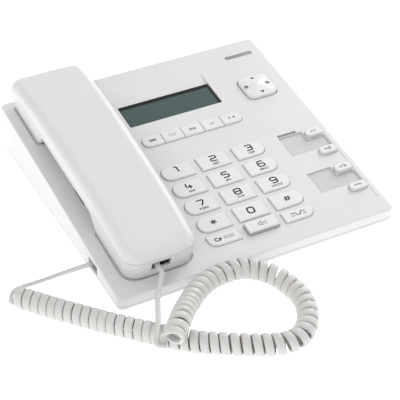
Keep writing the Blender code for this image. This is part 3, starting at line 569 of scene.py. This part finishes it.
# %% Vinyl
VINYL = plastic("cord_vinyl", (0.560, 0.556, 0.542), 0.42, grain=1400, edges=False)
vinyl_tree = VINYL.node_tree
stretch = shader_node(vinyl_tree, "Mapping", Vector=on_uv(vinyl_tree, "along_strand"),
                      Scale=(26.0, 120.0, 1.0))
fill(vinyl_tree, vinyl_tree.nodes["Bump"], Distance=0.00005,
     Height=noise(vinyl_tree, stretch.outputs[0], Scale=1.0))
fill(vinyl_tree, vinyl_tree.nodes["Principled BSDF"], Subsurface_Weight=0.08,
     Subsurface_Scale=0.001)
for cord in (curly_cord, handset_lead):
    cord.data.materials.append(VINYL)
print("vinyl on", curly_cord.name, "and", handset_lead.name)

# %% [markdown]
# ## Clear plastic and the display
#
# The card windows and the plugs are clear. A low alpha with a glossy coat reads as thin clear
# plastic and stays bright. The display is a liquid crystal panel that is switched off: grey-green,
# with two rows of character cells that can hardly be seen. A darker band just inside its edge,
# widest at the top and on the right, is painted shade: the shadow that the recess's wall casts on
# the panel. The band and the cells are read from a UV map that runs once across the window.

# %% Clear plastic
CLEAR, clear_tree, clear_shader = new_finish("clear_window")
scuffs = noise(clear_tree, on_object(clear_tree), Scale=240.0)
fill(clear_tree, clear_shader, Base_Color=(0.85, 0.86, 0.87, 1), Alpha=0.16,
     Roughness=shader_math(clear_tree, "MULTIPLY", scuffs, 0.18))
print("clear plastic, alpha 0.16")

# %% Display glass
GLASS, pane, glass_shader = new_finish("display_panel")
window_uv = on_uv(pane, "window")
over_width, over_height, _ = shader_node(pane, "SeparateXYZ", Vector=window_uv).outputs


def inside_band(coordinate, low_margin, high_margin):
    """1 inside the two margins of a 0 to 1 coordinate, 0 outside them, with a soft edge."""
    ramps = [shader_node(pane, "MapRange", Value=coordinate, From_Min=abs(edge - 0.75 * margin),
                         From_Max=abs(edge - margin)).outputs[0]
             for edge, margin in ((0.0, low_margin), (1.0, high_margin))]
    return shader_math(pane, "MULTIPLY", *ramps)


def cells(coordinate, count):
    """Soft stripes that mark the columns or rows of character cells."""
    wave = shader_math(pane, "MULTIPLY", coordinate, count * pi)
    swing = shader_math(pane, "ABSOLUTE", shader_math(pane, "SINE", wave, 0.0), 0.0)
    return shader_math(pane, "POWER", swing, 0.25)


# painted shade: a band inside the window's edge, widest at the top, darkens the panel to stand for
# the recess's shadow
clear_of_recess_shade = shader_math(pane, "MULTIPLY", inside_band(over_width, 0.010, 0.032),
                      inside_band(over_height, 0.025, 0.180))
grid = shader_math(pane, "MULTIPLY", cells(over_width, 16), cells(over_height, 2))
level = shader_math(pane, "SUBTRACT", 1.0, shader_math(pane, "MULTIPLY", grid, 0.07))
recess_shade_level = shader_math(pane, "ADD", shader_math(pane, "MULTIPLY", clear_of_recess_shade, 0.92), 0.08)
wipe = noise(pane, window_uv, Scale=6.0)
panel_colour = scaled(pane, (0.064, 0.098, 0.094), shader_math(pane, "MULTIPLY", level, recess_shade_level))
fill(pane, glass_shader, Specular_IOR_Level=0.22, Base_Color=panel_colour,
     Roughness=shader_math(pane, "MULTIPLY", wipe, 0.30))
print("display: 16 by 2 cells")

# %% [markdown]
# ## Softened copies of the solids
#
# The solids have razor-sharp edges, and no moulded edge is sharp: it is the small round that
# catches the light. Each visible solid is copied, its loose triangles are merged, flat
# neighbours are dissolved into one face, and a Bevel modifier rounds what is left. The
# result is stored as a plain mesh, and stands in for the solid.

# %% Soften one solid
def plain_mesh(piece):
    """Bakes the modifiers into a plain mesh."""
    evaluated = piece.evaluated_get(bpy.context.evaluated_depsgraph_get())
    mesh = bpy.data.meshes.new_from_object(evaluated)
    piece.modifiers.clear()
    piece.data = mesh
    return piece


def shade(piece, angle=32):
    """Smooth shading, sharp at real edges, that leaves large flat faces flat."""
    for face in piece.data.polygons:
        face.use_smooth = True
    piece.data.set_sharp_from_angle(angle=radians(angle))
    weighting = piece.modifiers.new("flat_faces_first", "WEIGHTED_NORMAL")
    weighting.keep_sharp = True
    weighting.weight = 100
    return plain_mesh(piece)


def merged_copy(node, finish):
    mesh = solids[node].data.copy()
    mesh.name = f"{node}_skin"
    mesh_data = bmesh.new()
    mesh_data.from_mesh(mesh)
    bmesh.ops.remove_doubles(mesh_data, verts=mesh_data.verts, dist=0.000002)
    bmesh.ops.dissolve_limit(mesh_data, angle_limit=radians(0.3), verts=mesh_data.verts,
                             edges=mesh_data.edges)
    bmesh.ops.triangulate(mesh_data, faces=mesh_data.faces)
    mesh_data.to_mesh(mesh)
    mesh_data.free()
    mesh.materials.clear()
    mesh.materials.append(finish)
    return new_piece(f"{node}_skin", mesh)


def softened(node, finish, edge=0.0002, segments=2):
    piece = merged_copy(node, finish)
    rounding = piece.modifiers.new("edge_round", "BEVEL")
    rounding.width = edge
    rounding.segments = segments
    rounding.limit_method = "ANGLE"
    rounding.angle_limit = radians(35)
    rounding.miter_outer = "MITER_ARC"
    plain_mesh(piece)
    shade(piece)
    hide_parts(node)
    return piece


def deck_uv(piece, name, low, high):
    """UV map from low to high across the piece, along the deck."""
    places = [TO_DECK @ v.co for v in piece.data.vertices]
    spans = [(min(p[i] for p in places), max(p[i] for p in places)) for i in (0, 1)]
    layer = piece.data.uv_layers.new(name=name)
    for loop in piece.data.loops:
        point = places[loop.vertex_index]
        layer.data[loop.index].uv = [
            low + (high - low) * (point[i] - spans[i][0]) / (spans[i][1] - spans[i][0])
            for i in (0, 1)]


print("softening helper ready")

# %% Covers
for node, edge in (("base_top_cover", 0.00018), ("base_bottom_cover", 0.0002)):
    cover = softened(node, CASE, edge)
    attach(cover, "base")
    print(cover.name, len(cover.data.polygons), "faces")

# %% Keys
key_nodes = sorted(n for n in solids if n.startswith("key_")) + ["nav_pad", "hook_button"]
skins = {}
for node in key_nodes:
    cap = softened(node, KEY, 0.00032 if node != "hook_button" else 0.0002, 3)
    deck_uv(cap, "key_top", -1.0, 1.0)
    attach(cap, body_of_solid[node])
    skins[node] = cap
print(len(skins), "keys")

# %% [markdown]
# The loudspeaker key stands higher than its neighbours, and its sides are a grey skirt. The
# faces that don't look along the deck's normal take the second material.

# %% Grey skirt of the loudspeaker key
speaker_cap = skins["key_speaker"]
speaker_cap.data.materials.append(SKIRT)
speaker_top = deck_middle("key_speaker").z
for face in speaker_cap.data.polygons:
    face.material_index = int((TO_DECK @ face.center).z < speaker_top - 0.0005)
print("skirt faces:", sum(face.material_index for face in speaker_cap.data.polygons))

# %% Display, lens and card windows
glass = softened("display_window", GLASS, 0.0001)
deck_uv(glass, "window", 0.0, 1.0)
for piece, slot in ((glass, "display_glass"),
                    (softened("indicator_lens", LENS, 0.0004, 3), "grey_lens"),
                    (softened("card_window_upper", CLEAR, 0.00012), "clear_plastic"),
                    (softened("card_window_lower", CLEAR, 0.00012), "clear_plastic")):
    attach(piece, "base")
    print(piece.name)

# %% [markdown]
# ## The handset
#
# The handset is two shells that meet in a seam all round. Its form follows a rule: the width
# grows a little towards the ear, the back arches, the grip is hollow below, and the feet lean
# in. The solid has that form in coarse steps. Here the same rule is sampled finely, so the
# long highlight along the back runs without a break.

# %% The rule of the form
GRIP_LENGTH, GRIP_WIDTH, EAR_EXTRA, SHELL_WALL = 0.1935, 0.0516, 0.0050, 0.0020
CROWN, END_TOP, GRIP_UNDERSIDE, FOOT = 0.0272, 0.0190, 0.0110, -0.0009
SEAM, CUP_SLOPE, MOUTH_CUP, EAR_CUP = 0.0150, 0.0115, 0.047, 0.0485
MOUTH_CORNER, EAR_CORNER, CUP_DRAFT = 0.0100, 0.0065, 0.955
MOUTH_LEAN, EAR_LEAN = 0.0030, 0.0065
EAR_CENTRE, MOUTH_CENTRE = 0.1675, MOUTH_CUP / 2 + 0.012
SEAM_GAP = 0.0003
TO_HANDSET = DECK @ Matrix.Translation((HANDSET_U, HANDSET_V, 0))


def rounded_section(width, height, radii, steps):
    """Anticlockwise rounded rectangle about the origin; radii start at the lower left."""
    points = []
    corners = ((-1, -1, pi), (1, -1, 1.5 * pi), (1, 1, 0.0), (-1, 1, 0.5 * pi))
    for (side_x, side_z, start), corner in zip(corners, radii):
        centre = (side_x * (width / 2 - corner), side_z * (height / 2 - corner))
        points += [(centre[0] + corner * cos(start + pi / 2 * i / steps),
                    centre[1] + corner * sin(start + pi / 2 * i / steps))
                   for i in range(steps + 1)]
    return points


def past_cup(spot, cup):
    share = min(1.0, max(0.0, (spot - cup) / CUP_SLOPE))
    return share * share * (3 - 2 * share)


def section_at(spot, corner, shrink):
    """One cross-section; corner is the plan radius of the end that this spot belongs to."""
    gap = max(0.0, corner - min(spot - shrink, GRIP_LENGTH - shrink - spot))
    pull = corner - sqrt(max(0.0, corner * corner - gap * gap))
    half = (GRIP_WIDTH + EAR_EXTRA * (spot / GRIP_LENGTH - 0.5)) / 2 - shrink - pull
    offset = 2 * spot / GRIP_LENGTH - 1
    top = CROWN - (CROWN - END_TOP) * abs(offset) ** 3 - shrink - 0.3 * pull
    grip = past_cup(spot, MOUTH_CUP) * past_cup(GRIP_LENGTH - spot, EAR_CUP)
    low = FOOT + (GRIP_UNDERSIDE - FOOT) * grip + shrink + 0.12 * pull
    points = []
    for x, z in rounded_section(2 * half, top - low, (0.0028, 0.0028, 0.0068, 0.0068), 9):
        height = z + (top + low) / 2
        draft = 1 - (1 - CUP_DRAFT) * max(0.0, SEAM - height) / (SEAM - FOOT)
        lean = MOUTH_LEAN if offset < 0 else -EAR_LEAN
        lean *= (1 - height / END_TOP) * abs(offset) ** 6
        points.append(TO_HANDSET @ Vector((x * draft, spot + lean, height)))
    return points


def handset_form(name, shrink, round_steps=10, long_steps=90):
    near, far = MOUTH_CORNER - shrink, EAR_CORNER - shrink
    straight = GRIP_LENGTH - 2 * shrink - near - far
    spots = [(shrink + near * (1 - cos(pi / 2 * i / round_steps)), near)
             for i in range(round_steps + 1)]
    spots += [(shrink + near + straight * i / long_steps, 0.0) for i in range(1, long_steps)]
    spots += [(GRIP_LENGTH - shrink - far * (1 - cos(pi / 2 * i / round_steps)), far)
              for i in reversed(range(round_steps + 1))]
    mesh_data = bmesh.new()
    rings = [[mesh_data.verts.new(p) for p in section_at(spot, corner, shrink)]
             for spot, corner in spots]
    skinned(mesh_data, rings)
    bmesh.ops.recalc_face_normals(mesh_data, faces=mesh_data.faces)
    return new_piece(name, mesh_from(mesh_data, name))


print("handset rule ready")

# %% [markdown]
# ## Holes for the ear
#
# The earpiece has a centre hole and a ring of six. Holes that repeat are a job for Geometry
# Nodes: one tree lays small drills on a circle, and its inputs are the ring's radius, the
# hole's radius and the count. The drills are cut out of the shell with a Boolean.

# %% Geometry tree helpers
def geometry_tree(name, inputs):
    """Empty geometry tree with the named inputs; returns it and its two end nodes."""
    tree = bpy.data.node_groups.new(name, "GeometryNodeTree")
    tree.interface.new_socket("Geometry", in_out="INPUT", socket_type="NodeSocketGeometry")
    for label, kind, value in inputs:
        socket = tree.interface.new_socket(label, in_out="INPUT", socket_type=kind)
        if value is not None:
            socket.default_value = value
    tree.interface.new_socket("Geometry", in_out="OUTPUT", socket_type="NodeSocketGeometry")
    return tree, tree.nodes.new("NodeGroupInput"), tree.nodes.new("NodeGroupOutput")


def geometry_node(tree, kind, **values):
    return fill(tree, tree.nodes.new("GeometryNode" + kind), **values)


def end_tree(tree, given, out, geometry):
    """Realize Instances, then Set Material, then the output."""
    real = tree.nodes.new("GeometryNodeRealizeInstances")
    dress = tree.nodes.new("GeometryNodeSetMaterial")
    fill(tree, real, Geometry=geometry)
    fill(tree, dress, Geometry=real.outputs[0], Material=given.outputs["Finish"])
    fill(tree, out, Geometry=dress.outputs[0])


def grown(name, tree, start=None, **values):
    """Runs a tree on a mesh (or on nothing) and keeps the result as a plain mesh."""
    piece = new_piece(name, start or bpy.data.meshes.new(name))
    modifier = piece.modifiers.new(tree.name, "NODES")
    modifier.node_group = tree
    for item in tree.interface.items_tree:
        wanted = item.name.replace(" ", "_").lower()
        if item.in_out == "INPUT" and wanted in values:
            modifier[item.identifier] = values[wanted]
    return plain_mesh(piece)


print("tree helpers ready")

# %% Ring of drills
ring_tree, given, out = geometry_tree("Ring of drills", (
    ("Ring radius", "NodeSocketFloat", 0.006), ("Hole radius", "NodeSocketFloat", 0.0012),
    ("Count", "NodeSocketInt", 6), ("Depth", "NodeSocketFloat", 0.008),
    ("Finish", "NodeSocketMaterial", None)))
circle = geometry_node(ring_tree, "MeshCircle", Radius=given.outputs["Ring radius"],
                       Vertices=given.outputs["Count"])
centre = geometry_node(ring_tree, "MeshLine", Count=1)
places = ring_tree.nodes.new("GeometryNodeJoinGeometry")
for points in (circle, centre):
    ring_tree.links.new(points.outputs[0], places.inputs[0])
drill = geometry_node(ring_tree, "MeshCylinder", Vertices=20, Depth=given.outputs["Depth"],
                      Radius=given.outputs["Hole radius"])
scatter = geometry_node(ring_tree, "InstanceOnPoints", Points=places.outputs[0],
                        Instance=drill.outputs["Mesh"])
end_tree(ring_tree, given, out, scatter.outputs[0])
ear_drills = grown("ear_drills", ring_tree, finish=BLACK)
ear_drills.data.transform(TO_HANDSET @ Matrix.Translation((0, EAR_CENTRE, 0)))
mouth_drill = grown("mouth_drill", ring_tree, finish=BLACK, ring_radius=0.0, hole_radius=0.0014,
                    count=3)
mouth_drill.data.transform(TO_HANDSET @ Matrix.Translation((0, MOUTH_CENTRE, 0)))
print("drills:", len(ear_drills.data.polygons), "faces")

# %% [markdown]
# The two shells come from one outer and one inner form. A large block removes the other
# half, and leaves a third of a millimetre at the seam: the fine dark line that every
# moulded handset shows.

# %% Cut the shells
def box_piece(name, size, middle, place=None):
    mesh_data = bmesh.new()
    bmesh.ops.create_cube(mesh_data, size=1.0)
    mesh = mesh_from(mesh_data, name)
    mesh.transform((place or Matrix()) @ Matrix.Translation(middle)
                   @ Matrix.Diagonal((*size, 1)))
    return new_piece(name, mesh)


def cut(piece, *cutters):
    for cutter in cutters:
        change = piece.modifiers.new(cutter.name, "BOOLEAN")
        change.object = cutter
        change.solver = "EXACT"
    return plain_mesh(piece)


hollow = handset_form("handset_hollow", SHELL_WALL, 6, 60)
above = box_piece("above_seam", (0.4, 0.4, 0.4), (0, 0.1, SEAM - SEAM_GAP / 2 + 0.2), TO_HANDSET)
below = box_piece("below_seam", (0.4, 0.4, 0.4), (0, 0.1, SEAM + SEAM_GAP / 2 - 0.2), TO_HANDSET)
opening = box_piece("socket_opening", (0.0130, 0.0100, 0.0066), (-0.0015, 0, PLUG_HEIGHT),
                    TO_HANDSET)
front_shell = cut(handset_form("handset_front_shell_skin", 0.0), hollow, above, opening,
                  ear_drills, mouth_drill)
back_shell = cut(handset_form("handset_back_shell_skin", 0.0), hollow, below)
for shell, node in ((front_shell, "handset_front_shell"), (back_shell, "handset_back_shell")):
    shell.data.materials.clear()
    shell.data.materials.append(HANDSET)
    for face in shell.data.polygons:
        face.material_index = 0
    shade(shell, 38)
    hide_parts(node)
    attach(shell, "handset")
    print(shell.name, len(shell.data.polygons), "faces")
for tool in (hollow, above, below, opening, ear_drills, mouth_drill):
    bpy.data.objects.remove(tool)

# %% [markdown]
# ## Printed digits and signs
#
# The marks on the keys are pad printed: a film of ink with square, wide digits. A digit is a
# few straight strokes, so it is drawn as a path. A geometry tree rounds the path's corners
# and sweeps a thin flat bar along it. The path is a list of points, so one tree makes every
# digit and every sign, and its stroke width can change.

# %% Stroke tree
stroke_tree, given, out = geometry_tree("Stroke of ink", (
    ("Stroke width", "NodeSocketFloat", 0.0006), ("Corner radius", "NodeSocketFloat", 0.0005),
    ("Thickness", "NodeSocketFloat", 0.00004), ("Finish", "NodeSocketMaterial", None)))
path = geometry_node(stroke_tree, "MeshToCurve", Mesh=given.outputs[0])
fillet = geometry_node(stroke_tree, "FilletCurve", Curve=path.outputs[0])
fillet.mode = "POLY"
fill(stroke_tree, fillet, Count=4, Radius=given.outputs["Corner radius"], Limit_Radius=True)
flat_bar = geometry_node(stroke_tree, "SetCurveNormal", Curve=fillet.outputs[0])
flat_bar.mode = "Z_UP"
bar = geometry_node(stroke_tree, "CurvePrimitiveQuadrilateral",
                    Width=given.outputs["Stroke width"], Height=given.outputs["Thickness"])
sweep = geometry_node(stroke_tree, "CurveToMesh", Curve=flat_bar.outputs[0],
                      Profile_Curve=bar.outputs[0], Fill_Caps=True)
end_tree(stroke_tree, given, out, sweep.outputs[0])
print("stroke tree:", len(stroke_tree.nodes), "nodes")

# %% Shapes of the digits
# Each digit is a list of strokes in a box 0.9 wide and 1 high; a stroke that ends where it
# starts is closed.
DIGITS = {
    "0": [[(0, 0), (.9, 0), (.9, 1), (0, 1), (0, 0)]],
    "1": [[(.15, 1), (.55, 1), (.55, 0)]],
    "2": [[(0, 1), (.9, 1), (.9, .5), (0, .5), (0, 0), (.9, 0)]],
    "3": [[(0, 1), (.9, 1), (.9, 0), (0, 0)], [(.25, .5), (.9, .5)]],
    "4": [[(.2, 1), (0, .3), (.9, .3)], [(.62, .65), (.62, 0)]],
    "5": [[(.9, 1), (0, 1), (0, .55), (.9, .55), (.9, 0), (0, 0)]],
    "6": [[(.85, 1), (0, 1), (0, 0), (.9, 0), (.9, .55), (0, .55)]],
    "7": [[(0, 1), (.9, 1), (.9, .8), (.45, 0)]],
    "8": [[(0, 0), (.9, 0), (.9, 1), (0, 1), (0, 0)], [(0, .5), (.9, .5)]],
    "9": [[(.05, 0), (.9, 0), (.9, 1), (0, 1), (0, .45), (.9, .45)]],
    "M": [[(0, 0), (0, 1), (.45, .5), (.9, 1), (.9, 0)]],
    "star": [[(.45, .12), (.45, .88)], [(.1, .32), (.8, .68)], [(.1, .68), (.8, .32)]],
    "hash": [[(.2, .15), (.36, .85)], [(.54, .15), (.7, .85)], [(.05, .35), (.8, .35)],
             [(.1, .65), (.85, .65)]],
}


def placed_strokes(strokes, size, middle=(0.0, 0.0)):
    """Strokes of a digit, sized and moved so that the box's middle is at that place."""
    return [[(middle[0] + size * (x - 0.45), middle[1] + size * (y - 0.5)) for x, y in stroke]
            for stroke in strokes]


print(len(DIGITS), "shapes")

# %% Draw and drape a print
def drawn(name, strokes, width, corner, finish):
    """Mesh of swept strokes in the plane."""
    mesh_data = bmesh.new()
    for stroke in strokes:
        closed = stroke[0] == stroke[-1]
        points = stroke[:-1] if closed else stroke
        row = [mesh_data.verts.new((x, y, 0)) for x, y in points]
        for near, far in zip(row, row[1:]):
            mesh_data.edges.new((near, far))
        if closed:
            mesh_data.edges.new((row[-1], row[0]))
    return grown(name, stroke_tree, mesh_from(mesh_data, name), stroke_width=width,
                 corner_radius=corner, finish=finish)


def lettered(name, text, size, middle, finish):
    """Flat letters of a thin closed film, as a mesh."""
    curve = bpy.data.curves.new(name, "FONT")
    curve.body = text
    curve.size = size
    curve.align_x = "CENTER"
    curve.align_y = "CENTER"
    curve.extrude = 0.00002
    curve.offset = 0.00007
    curve.resolution_u = 2
    source = new_piece(name, curve)
    evaluated = source.evaluated_get(bpy.context.evaluated_depsgraph_get())
    mesh = bpy.data.meshes.new_from_object(evaluated)
    bpy.data.objects.remove(source)
    mesh.transform(Matrix.Translation((*middle, 0)))
    mesh.materials.clear()
    mesh.materials.append(finish)
    return mesh


def printed(node, strokes, width, corner, finish, letters="", letter_middle=(0, 0)):
    """Prints marks on the top of a key and lets them follow its surface."""
    piece = drawn(f"print_{node}", strokes, width, corner, finish)
    if letters:
        film = lettered("letters", letters, 0.00275, letter_middle, finish)
        mesh_data = bmesh.new()
        mesh_data.from_mesh(piece.data)
        mesh_data.from_mesh(film)
        mesh_data.to_mesh(piece.data)
        mesh_data.free()
    cap_mesh = bmesh.new()
    cap_mesh.from_mesh(skins[node].data)
    surface = BVHTree.FromBMesh(cap_mesh)
    middle = deck_middle(node)
    for vertex in piece.data.vertices:
        u, v, film_height = vertex.co
        start = on_deck(middle.x + u, middle.y + v, middle.z + 0.01)
        hit = surface.ray_cast(start, -DECK_UP)[0]
        vertex.co = (hit or start) + DECK_UP * film_height
    cap_mesh.free()
    for face in piece.data.polygons:
        face.use_smooth = False
    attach(piece, body_of_solid[node])
    return piece


print("printing ready")

# %% Number keys
LETTERS = {"2": "ABC", "3": "DEF", "4": "GHI", "5": "JKL", "6": "MNO", "7": "PQRS",
           "8": "TUV", "9": "WXYZ"}
for sign in ("1", "2", "3", "4", "5", "6", "7", "8", "9"):
    printed(f"key_{sign}", placed_strokes(DIGITS[sign], 0.0050, (0.0006, 0.0017)), 0.00108,
            0.0011, PRINT, LETTERS.get(sign, ""), (0.0006, -0.0035))
printed("key_0", placed_strokes(DIGITS["0"], 0.0050, (0.0002, 0.0003)), 0.00118, 0.0014, PRINT)
for sign in ("star", "hash"):
    printed(f"key_{sign}", placed_strokes(DIGITS[sign], 0.0058, (0.0002, 0.0004)), 0.00080, 0,
            PRINT)
print("number keys printed")

# %% [markdown]
# The function keys carry words on many telephones. Here each has a sign instead: a loop arrow
# for the last number, a dip in a line for a short hang-up, and simple signs for the menu keys.
# All are strokes, in millimetres from the middle of the key.

# %% Function keys
SIGNS = {
    "key_redial": (0.72, [[(-4, 1.2), (-6.4, 1.2), (-6.4, -1.2), (-2.8, -1.2), (-2.8, .3)],
                          [(-4, -.3), (-2.8, .8), (-1.6, -.3)],
                          *[[(x - .5, y), (x + .5, y)] for x in (.6, 2.6, 4.6, 6.4)
                            for y in (-.8, .8)]]),
    "key_flash": (0.62, [[(-5.4, 1.1), (-2, 1.1), (-1.2, -1.1), (1.2, -1.1), (2, 1.1), (5.4, 1.1)],
                         [(-5.4, -1.1), (-3.2, -1.1)], [(3.2, -1.1), (5.4, -1.1)]]),
    "key_soft_1": (0.50, [[(-2.6, .8), (2.6, .8)], [(-2.6, 0), (2.6, 0)],
                          [(-2.6, -.8), (2.6, -.8)]]),
    "key_soft_2": (0.70, [[(x - .4, y), (x + .4, y)] for x in (-2, 0, 2) for y in (-.7, .7)]),
    "key_soft_3": (0.50, [[(-2.6, .6), (2.6, .6)], [(-1, 1.1), (-1, .1)],
                          [(-2.6, -.6), (2.6, -.6)], [(1, -.1), (1, -1.1)]]),
    "key_soft_4": (0.50, [[(-1.7, 0), (-.5, -.9), (1.7, .9)]]),
    "key_soft_5": (0.52, [[(-2.6, 0), (-.8, 0)], [(-1.7, .9), (-1.7, -.9)], [(.4, 0), (2.6, 0)],
                          [(1.8, .8), (2.6, 0), (1.8, -.8)]]),
}
for node, (width, strokes) in SIGNS.items():
    strokes = [[(x / 1000, y / 1000) for x, y in stroke] for stroke in strokes]
    printed(node, strokes, width / 1000, 0.0003, PRINT)
speaker_sign = [[(-1.7, .5), (-.9, .5), (0, 1.2), (0, -1.2), (-.9, -.5), (-1.7, -.5), (-1.7, .5)],
                [(.9, .6), (.9, -.6)], [(1.8, 1.1), (1.8, -1.1)]]
printed("key_speaker", [[(x / 667, y / 667) for x, y in s] for s in speaker_sign], 0.0006,
        0.0001, GREY_PRINT)
for index in range(1, 5):
    marks = placed_strokes(DIGITS["M"], 0.0020, (-0.0015, 0))
    marks += placed_strokes(DIGITS[str(index)], 0.0020, (0.0013, 0))
    printed(f"key_memory_{index}", marks, 0.00046, 0.0003, PRINT)
print("function keys printed")

# %% Direction pad
ring = [(1.2 * cos(i * pi / 6), 1.2 * sin(i * pi / 6)) for i in range(12)]
PAD_SIGNS = (
    ((0, 8.0), [[(-1.2, -.6), (1.2, -.6), (0, .8), (-1.2, -.6)]]),
    ((0, -8.0), [[(-1.2, .6), (0, -.8), (1.2, .6), (-1.2, .6)]]),
    ((-8.8, 0.6), [[*ring, ring[0]], [(0, .8), (0, 0), (.6, 0)]]),
    ((8.0, -0.6), [[(-1.3, .9), (1.3, .9), (1.3, -.9), (-1.3, -.9), (-1.3, .9)],
                [(0, .9), (0, -.9)]]))
pad_strokes = [[((u + x) / 1000, (v + y) / 1000) for x, y in stroke]
               for (u, v), strokes in PAD_SIGNS for stroke in strokes]
printed("nav_pad", pad_strokes, 0.00070, 0.0001, PRINT)
print("direction pad printed")

# %% [markdown]
# ## Contacts and screws
#
# The line socket at the rear and the two plugs have rows of gilt contacts. A row is one bar
# repeated, so it comes from a tree with count, spacing and size. The four case screws get a
# cross recess, cut by two crossed bars.

# %% Row of bars
CONTACT_PITCH = 0.00102
PLUG_LENGTH, PLUG_HALF_HEIGHT = 0.0115, 0.0028
row_tree, given, out = geometry_tree("Row of bars", (
    ("Count", "NodeSocketInt", 4), ("Spacing", "NodeSocketVector", (CONTACT_PITCH, 0, 0)),
    ("Size", "NodeSocketVector", (0.0003, 0.005, 0.0003)),
    ("Finish", "NodeSocketMaterial", None)))
row = geometry_node(row_tree, "MeshLine", Count=given.outputs["Count"],
                    Offset=given.outputs["Spacing"])
one_bar = geometry_node(row_tree, "MeshCube", Size=given.outputs["Size"])
repeat = geometry_node(row_tree, "InstanceOnPoints", Points=row.outputs[0],
                       Instance=one_bar.outputs["Mesh"])
end_tree(row_tree, given, out, repeat.outputs[0])
print("row tree:", len(row_tree.nodes), "nodes")

# %% Contacts
jack_low, jack_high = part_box("line_jack")
contacts = grown("line_contacts", row_tree, finish=GOLD, size=(0.0004, 0.0080, 0.0004))
contacts.data.transform(Matrix.Translation((
    (jack_low.x + jack_high.x) / 2 - 1.5 * CONTACT_PITCH, (jack_low.y + jack_high.y) / 2,
    (jack_low.z + jack_high.z) / 2 + 0.0024)) @ Matrix.Rotation(radians(14), 4, "X"))
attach(contacts, "base")
base_blades = grown("base_plug_contacts", row_tree, finish=GOLD, spacing=(0, CONTACT_PITCH, 0),
                    size=(0.0034, 0.0003, 0.0008))
plug_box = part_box("plug_base")
base_blades.data.transform(Matrix.Translation((
    plug_box[1].x - 0.0030, (plug_box[0].y + plug_box[1].y) / 2 - 1.5 * CONTACT_PITCH,
    plug_box[1].z - 0.0009)))
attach(base_blades, "base")
handset_blades = grown("handset_plug_contacts", row_tree, finish=GOLD,
                       size=(0.0003, 0.0034, 0.0008))
handset_blades.data.transform(TO_HANDSET @ Matrix.Translation((
    PLUG_ASIDE - 1.5 * CONTACT_PITCH, PLUG_DEPTH + PLUG_LENGTH - 0.0030,
    PLUG_HEIGHT + PLUG_HALF_HEIGHT - 0.0009)))
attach(handset_blades, "handset")
print("contacts made")

# %% Plugs
for node, body in (("plug_base", "base"), ("plug_handset", "handset")):
    plug = softened(node, CLEAR, 0.00015)
    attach(plug, body)
    print(plug.name)

# %% [markdown]

# %% Cords and plugs
print("cords and plugs in place")

# %% Screws and feet
for node in sorted(n for n in solids if n.startswith("screw_")):
    screw = softened(node, STEEL, 0.00025)
    low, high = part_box(node)
    middle = ((low.x + high.x) / 2, (low.y + high.y) / 2, low.z)
    bars = [box_piece("recess_a", (0.0031, 0.0007, 0.0022), middle),
            box_piece("recess_b", (0.0007, 0.0031, 0.0022), middle)]
    cut(screw, *bars)
    for bar in bars:
        bpy.data.objects.remove(bar)
    shade(screw)
    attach(screw, "base")
for node in sorted(n for n in solids if n.startswith("foot_")):
    foot = softened(node, RUBBER, 0.0003, 3)
    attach(foot, "base")
print("screws and feet made")

# %% [markdown]
# ## The remaining solids
#
# Pieces inside the telephone, or seen only from below or behind, keep their own shape and
# take a plastic that suits them.

# %% Finishes for the other solids
FINISHES = {"foot": RUBBER, "screw": STEEL, "handset_microphone": STEEL, "index_card": CARD,
            "plug": CLEAR, "main_board": BOARD, "keypad_mat": SILICONE, "lcd_panel": GLASS}


def finish_of(node):
    fitting = [finish for start, finish in FINISHES.items() if node.startswith(start)]
    return fitting[0] if fitting else BLACK


for node, solid in solids.items():
    solid.data.materials.clear()
    solid.data.materials.append(finish_of(node))
print("finished", len(solids), "solids")

# %% [markdown]
# ## Table and light
#
# The telephone stands on a bright white sheet, as on a light table: the sheet glows a little,
# fills the side walls from below and leaves hardly a shadow. A white world gives the even
# light from above. A soft lamp behind the telephone on the right leaves the near sides of
# the keys a little darker than their tops, and a weaker one in front fills in. The scene's
# view transform is Standard, so that white plastic stays white.

# %% Table
table_mesh = bpy.data.meshes.new("table")
table_mesh.from_pydata([(-3, -3, 0), (3, -3, 0), (3, 3, 0), (-3, 3, 0)], [], [(0, 1, 2, 3)])
table = new_piece("table", table_mesh)
table_paint, table_tree, sheet_shader = new_finish("pale_table")
fill(table_tree, sheet_shader, Base_Color=(0.93, 0.93, 0.93, 1), Roughness=0.9,
     Emission_Color=(1, 1, 1, 1), Emission_Strength=0.72)
table_mesh.materials.append(table_paint)
print("table:", table.name)

# %% World and lamps
world = bpy.data.worlds.new("studio")
world.use_nodes = True
fill(world.node_tree, world.node_tree.nodes["Background"], Color=(1, 1, 1, 1), Strength=0.87)
bpy.context.scene.world = world
bpy.context.scene.view_settings.view_transform = "Standard"


def soft_lamp(name, place, target, size, power):
    lamp_data = bpy.data.lights.new(name, "AREA")
    lamp_data.shape = "SQUARE"
    lamp_data.size = size
    lamp_data.energy = power
    lamp = new_piece(name, lamp_data)
    lamp.location = place
    lamp.rotation_euler = (Vector(target) - Vector(place)).to_track_quat("-Z", "Y").to_euler()
    print(name, power, "W")


soft_lamp("left_front_lamp", (-0.9, -0.7, 0.8), (0, 0, 0), 0.7, 3.0)
soft_lamp("rear_lamp", (1.15, 0.70, 0.75), (0, 0, 0), 0.9, 11.0)
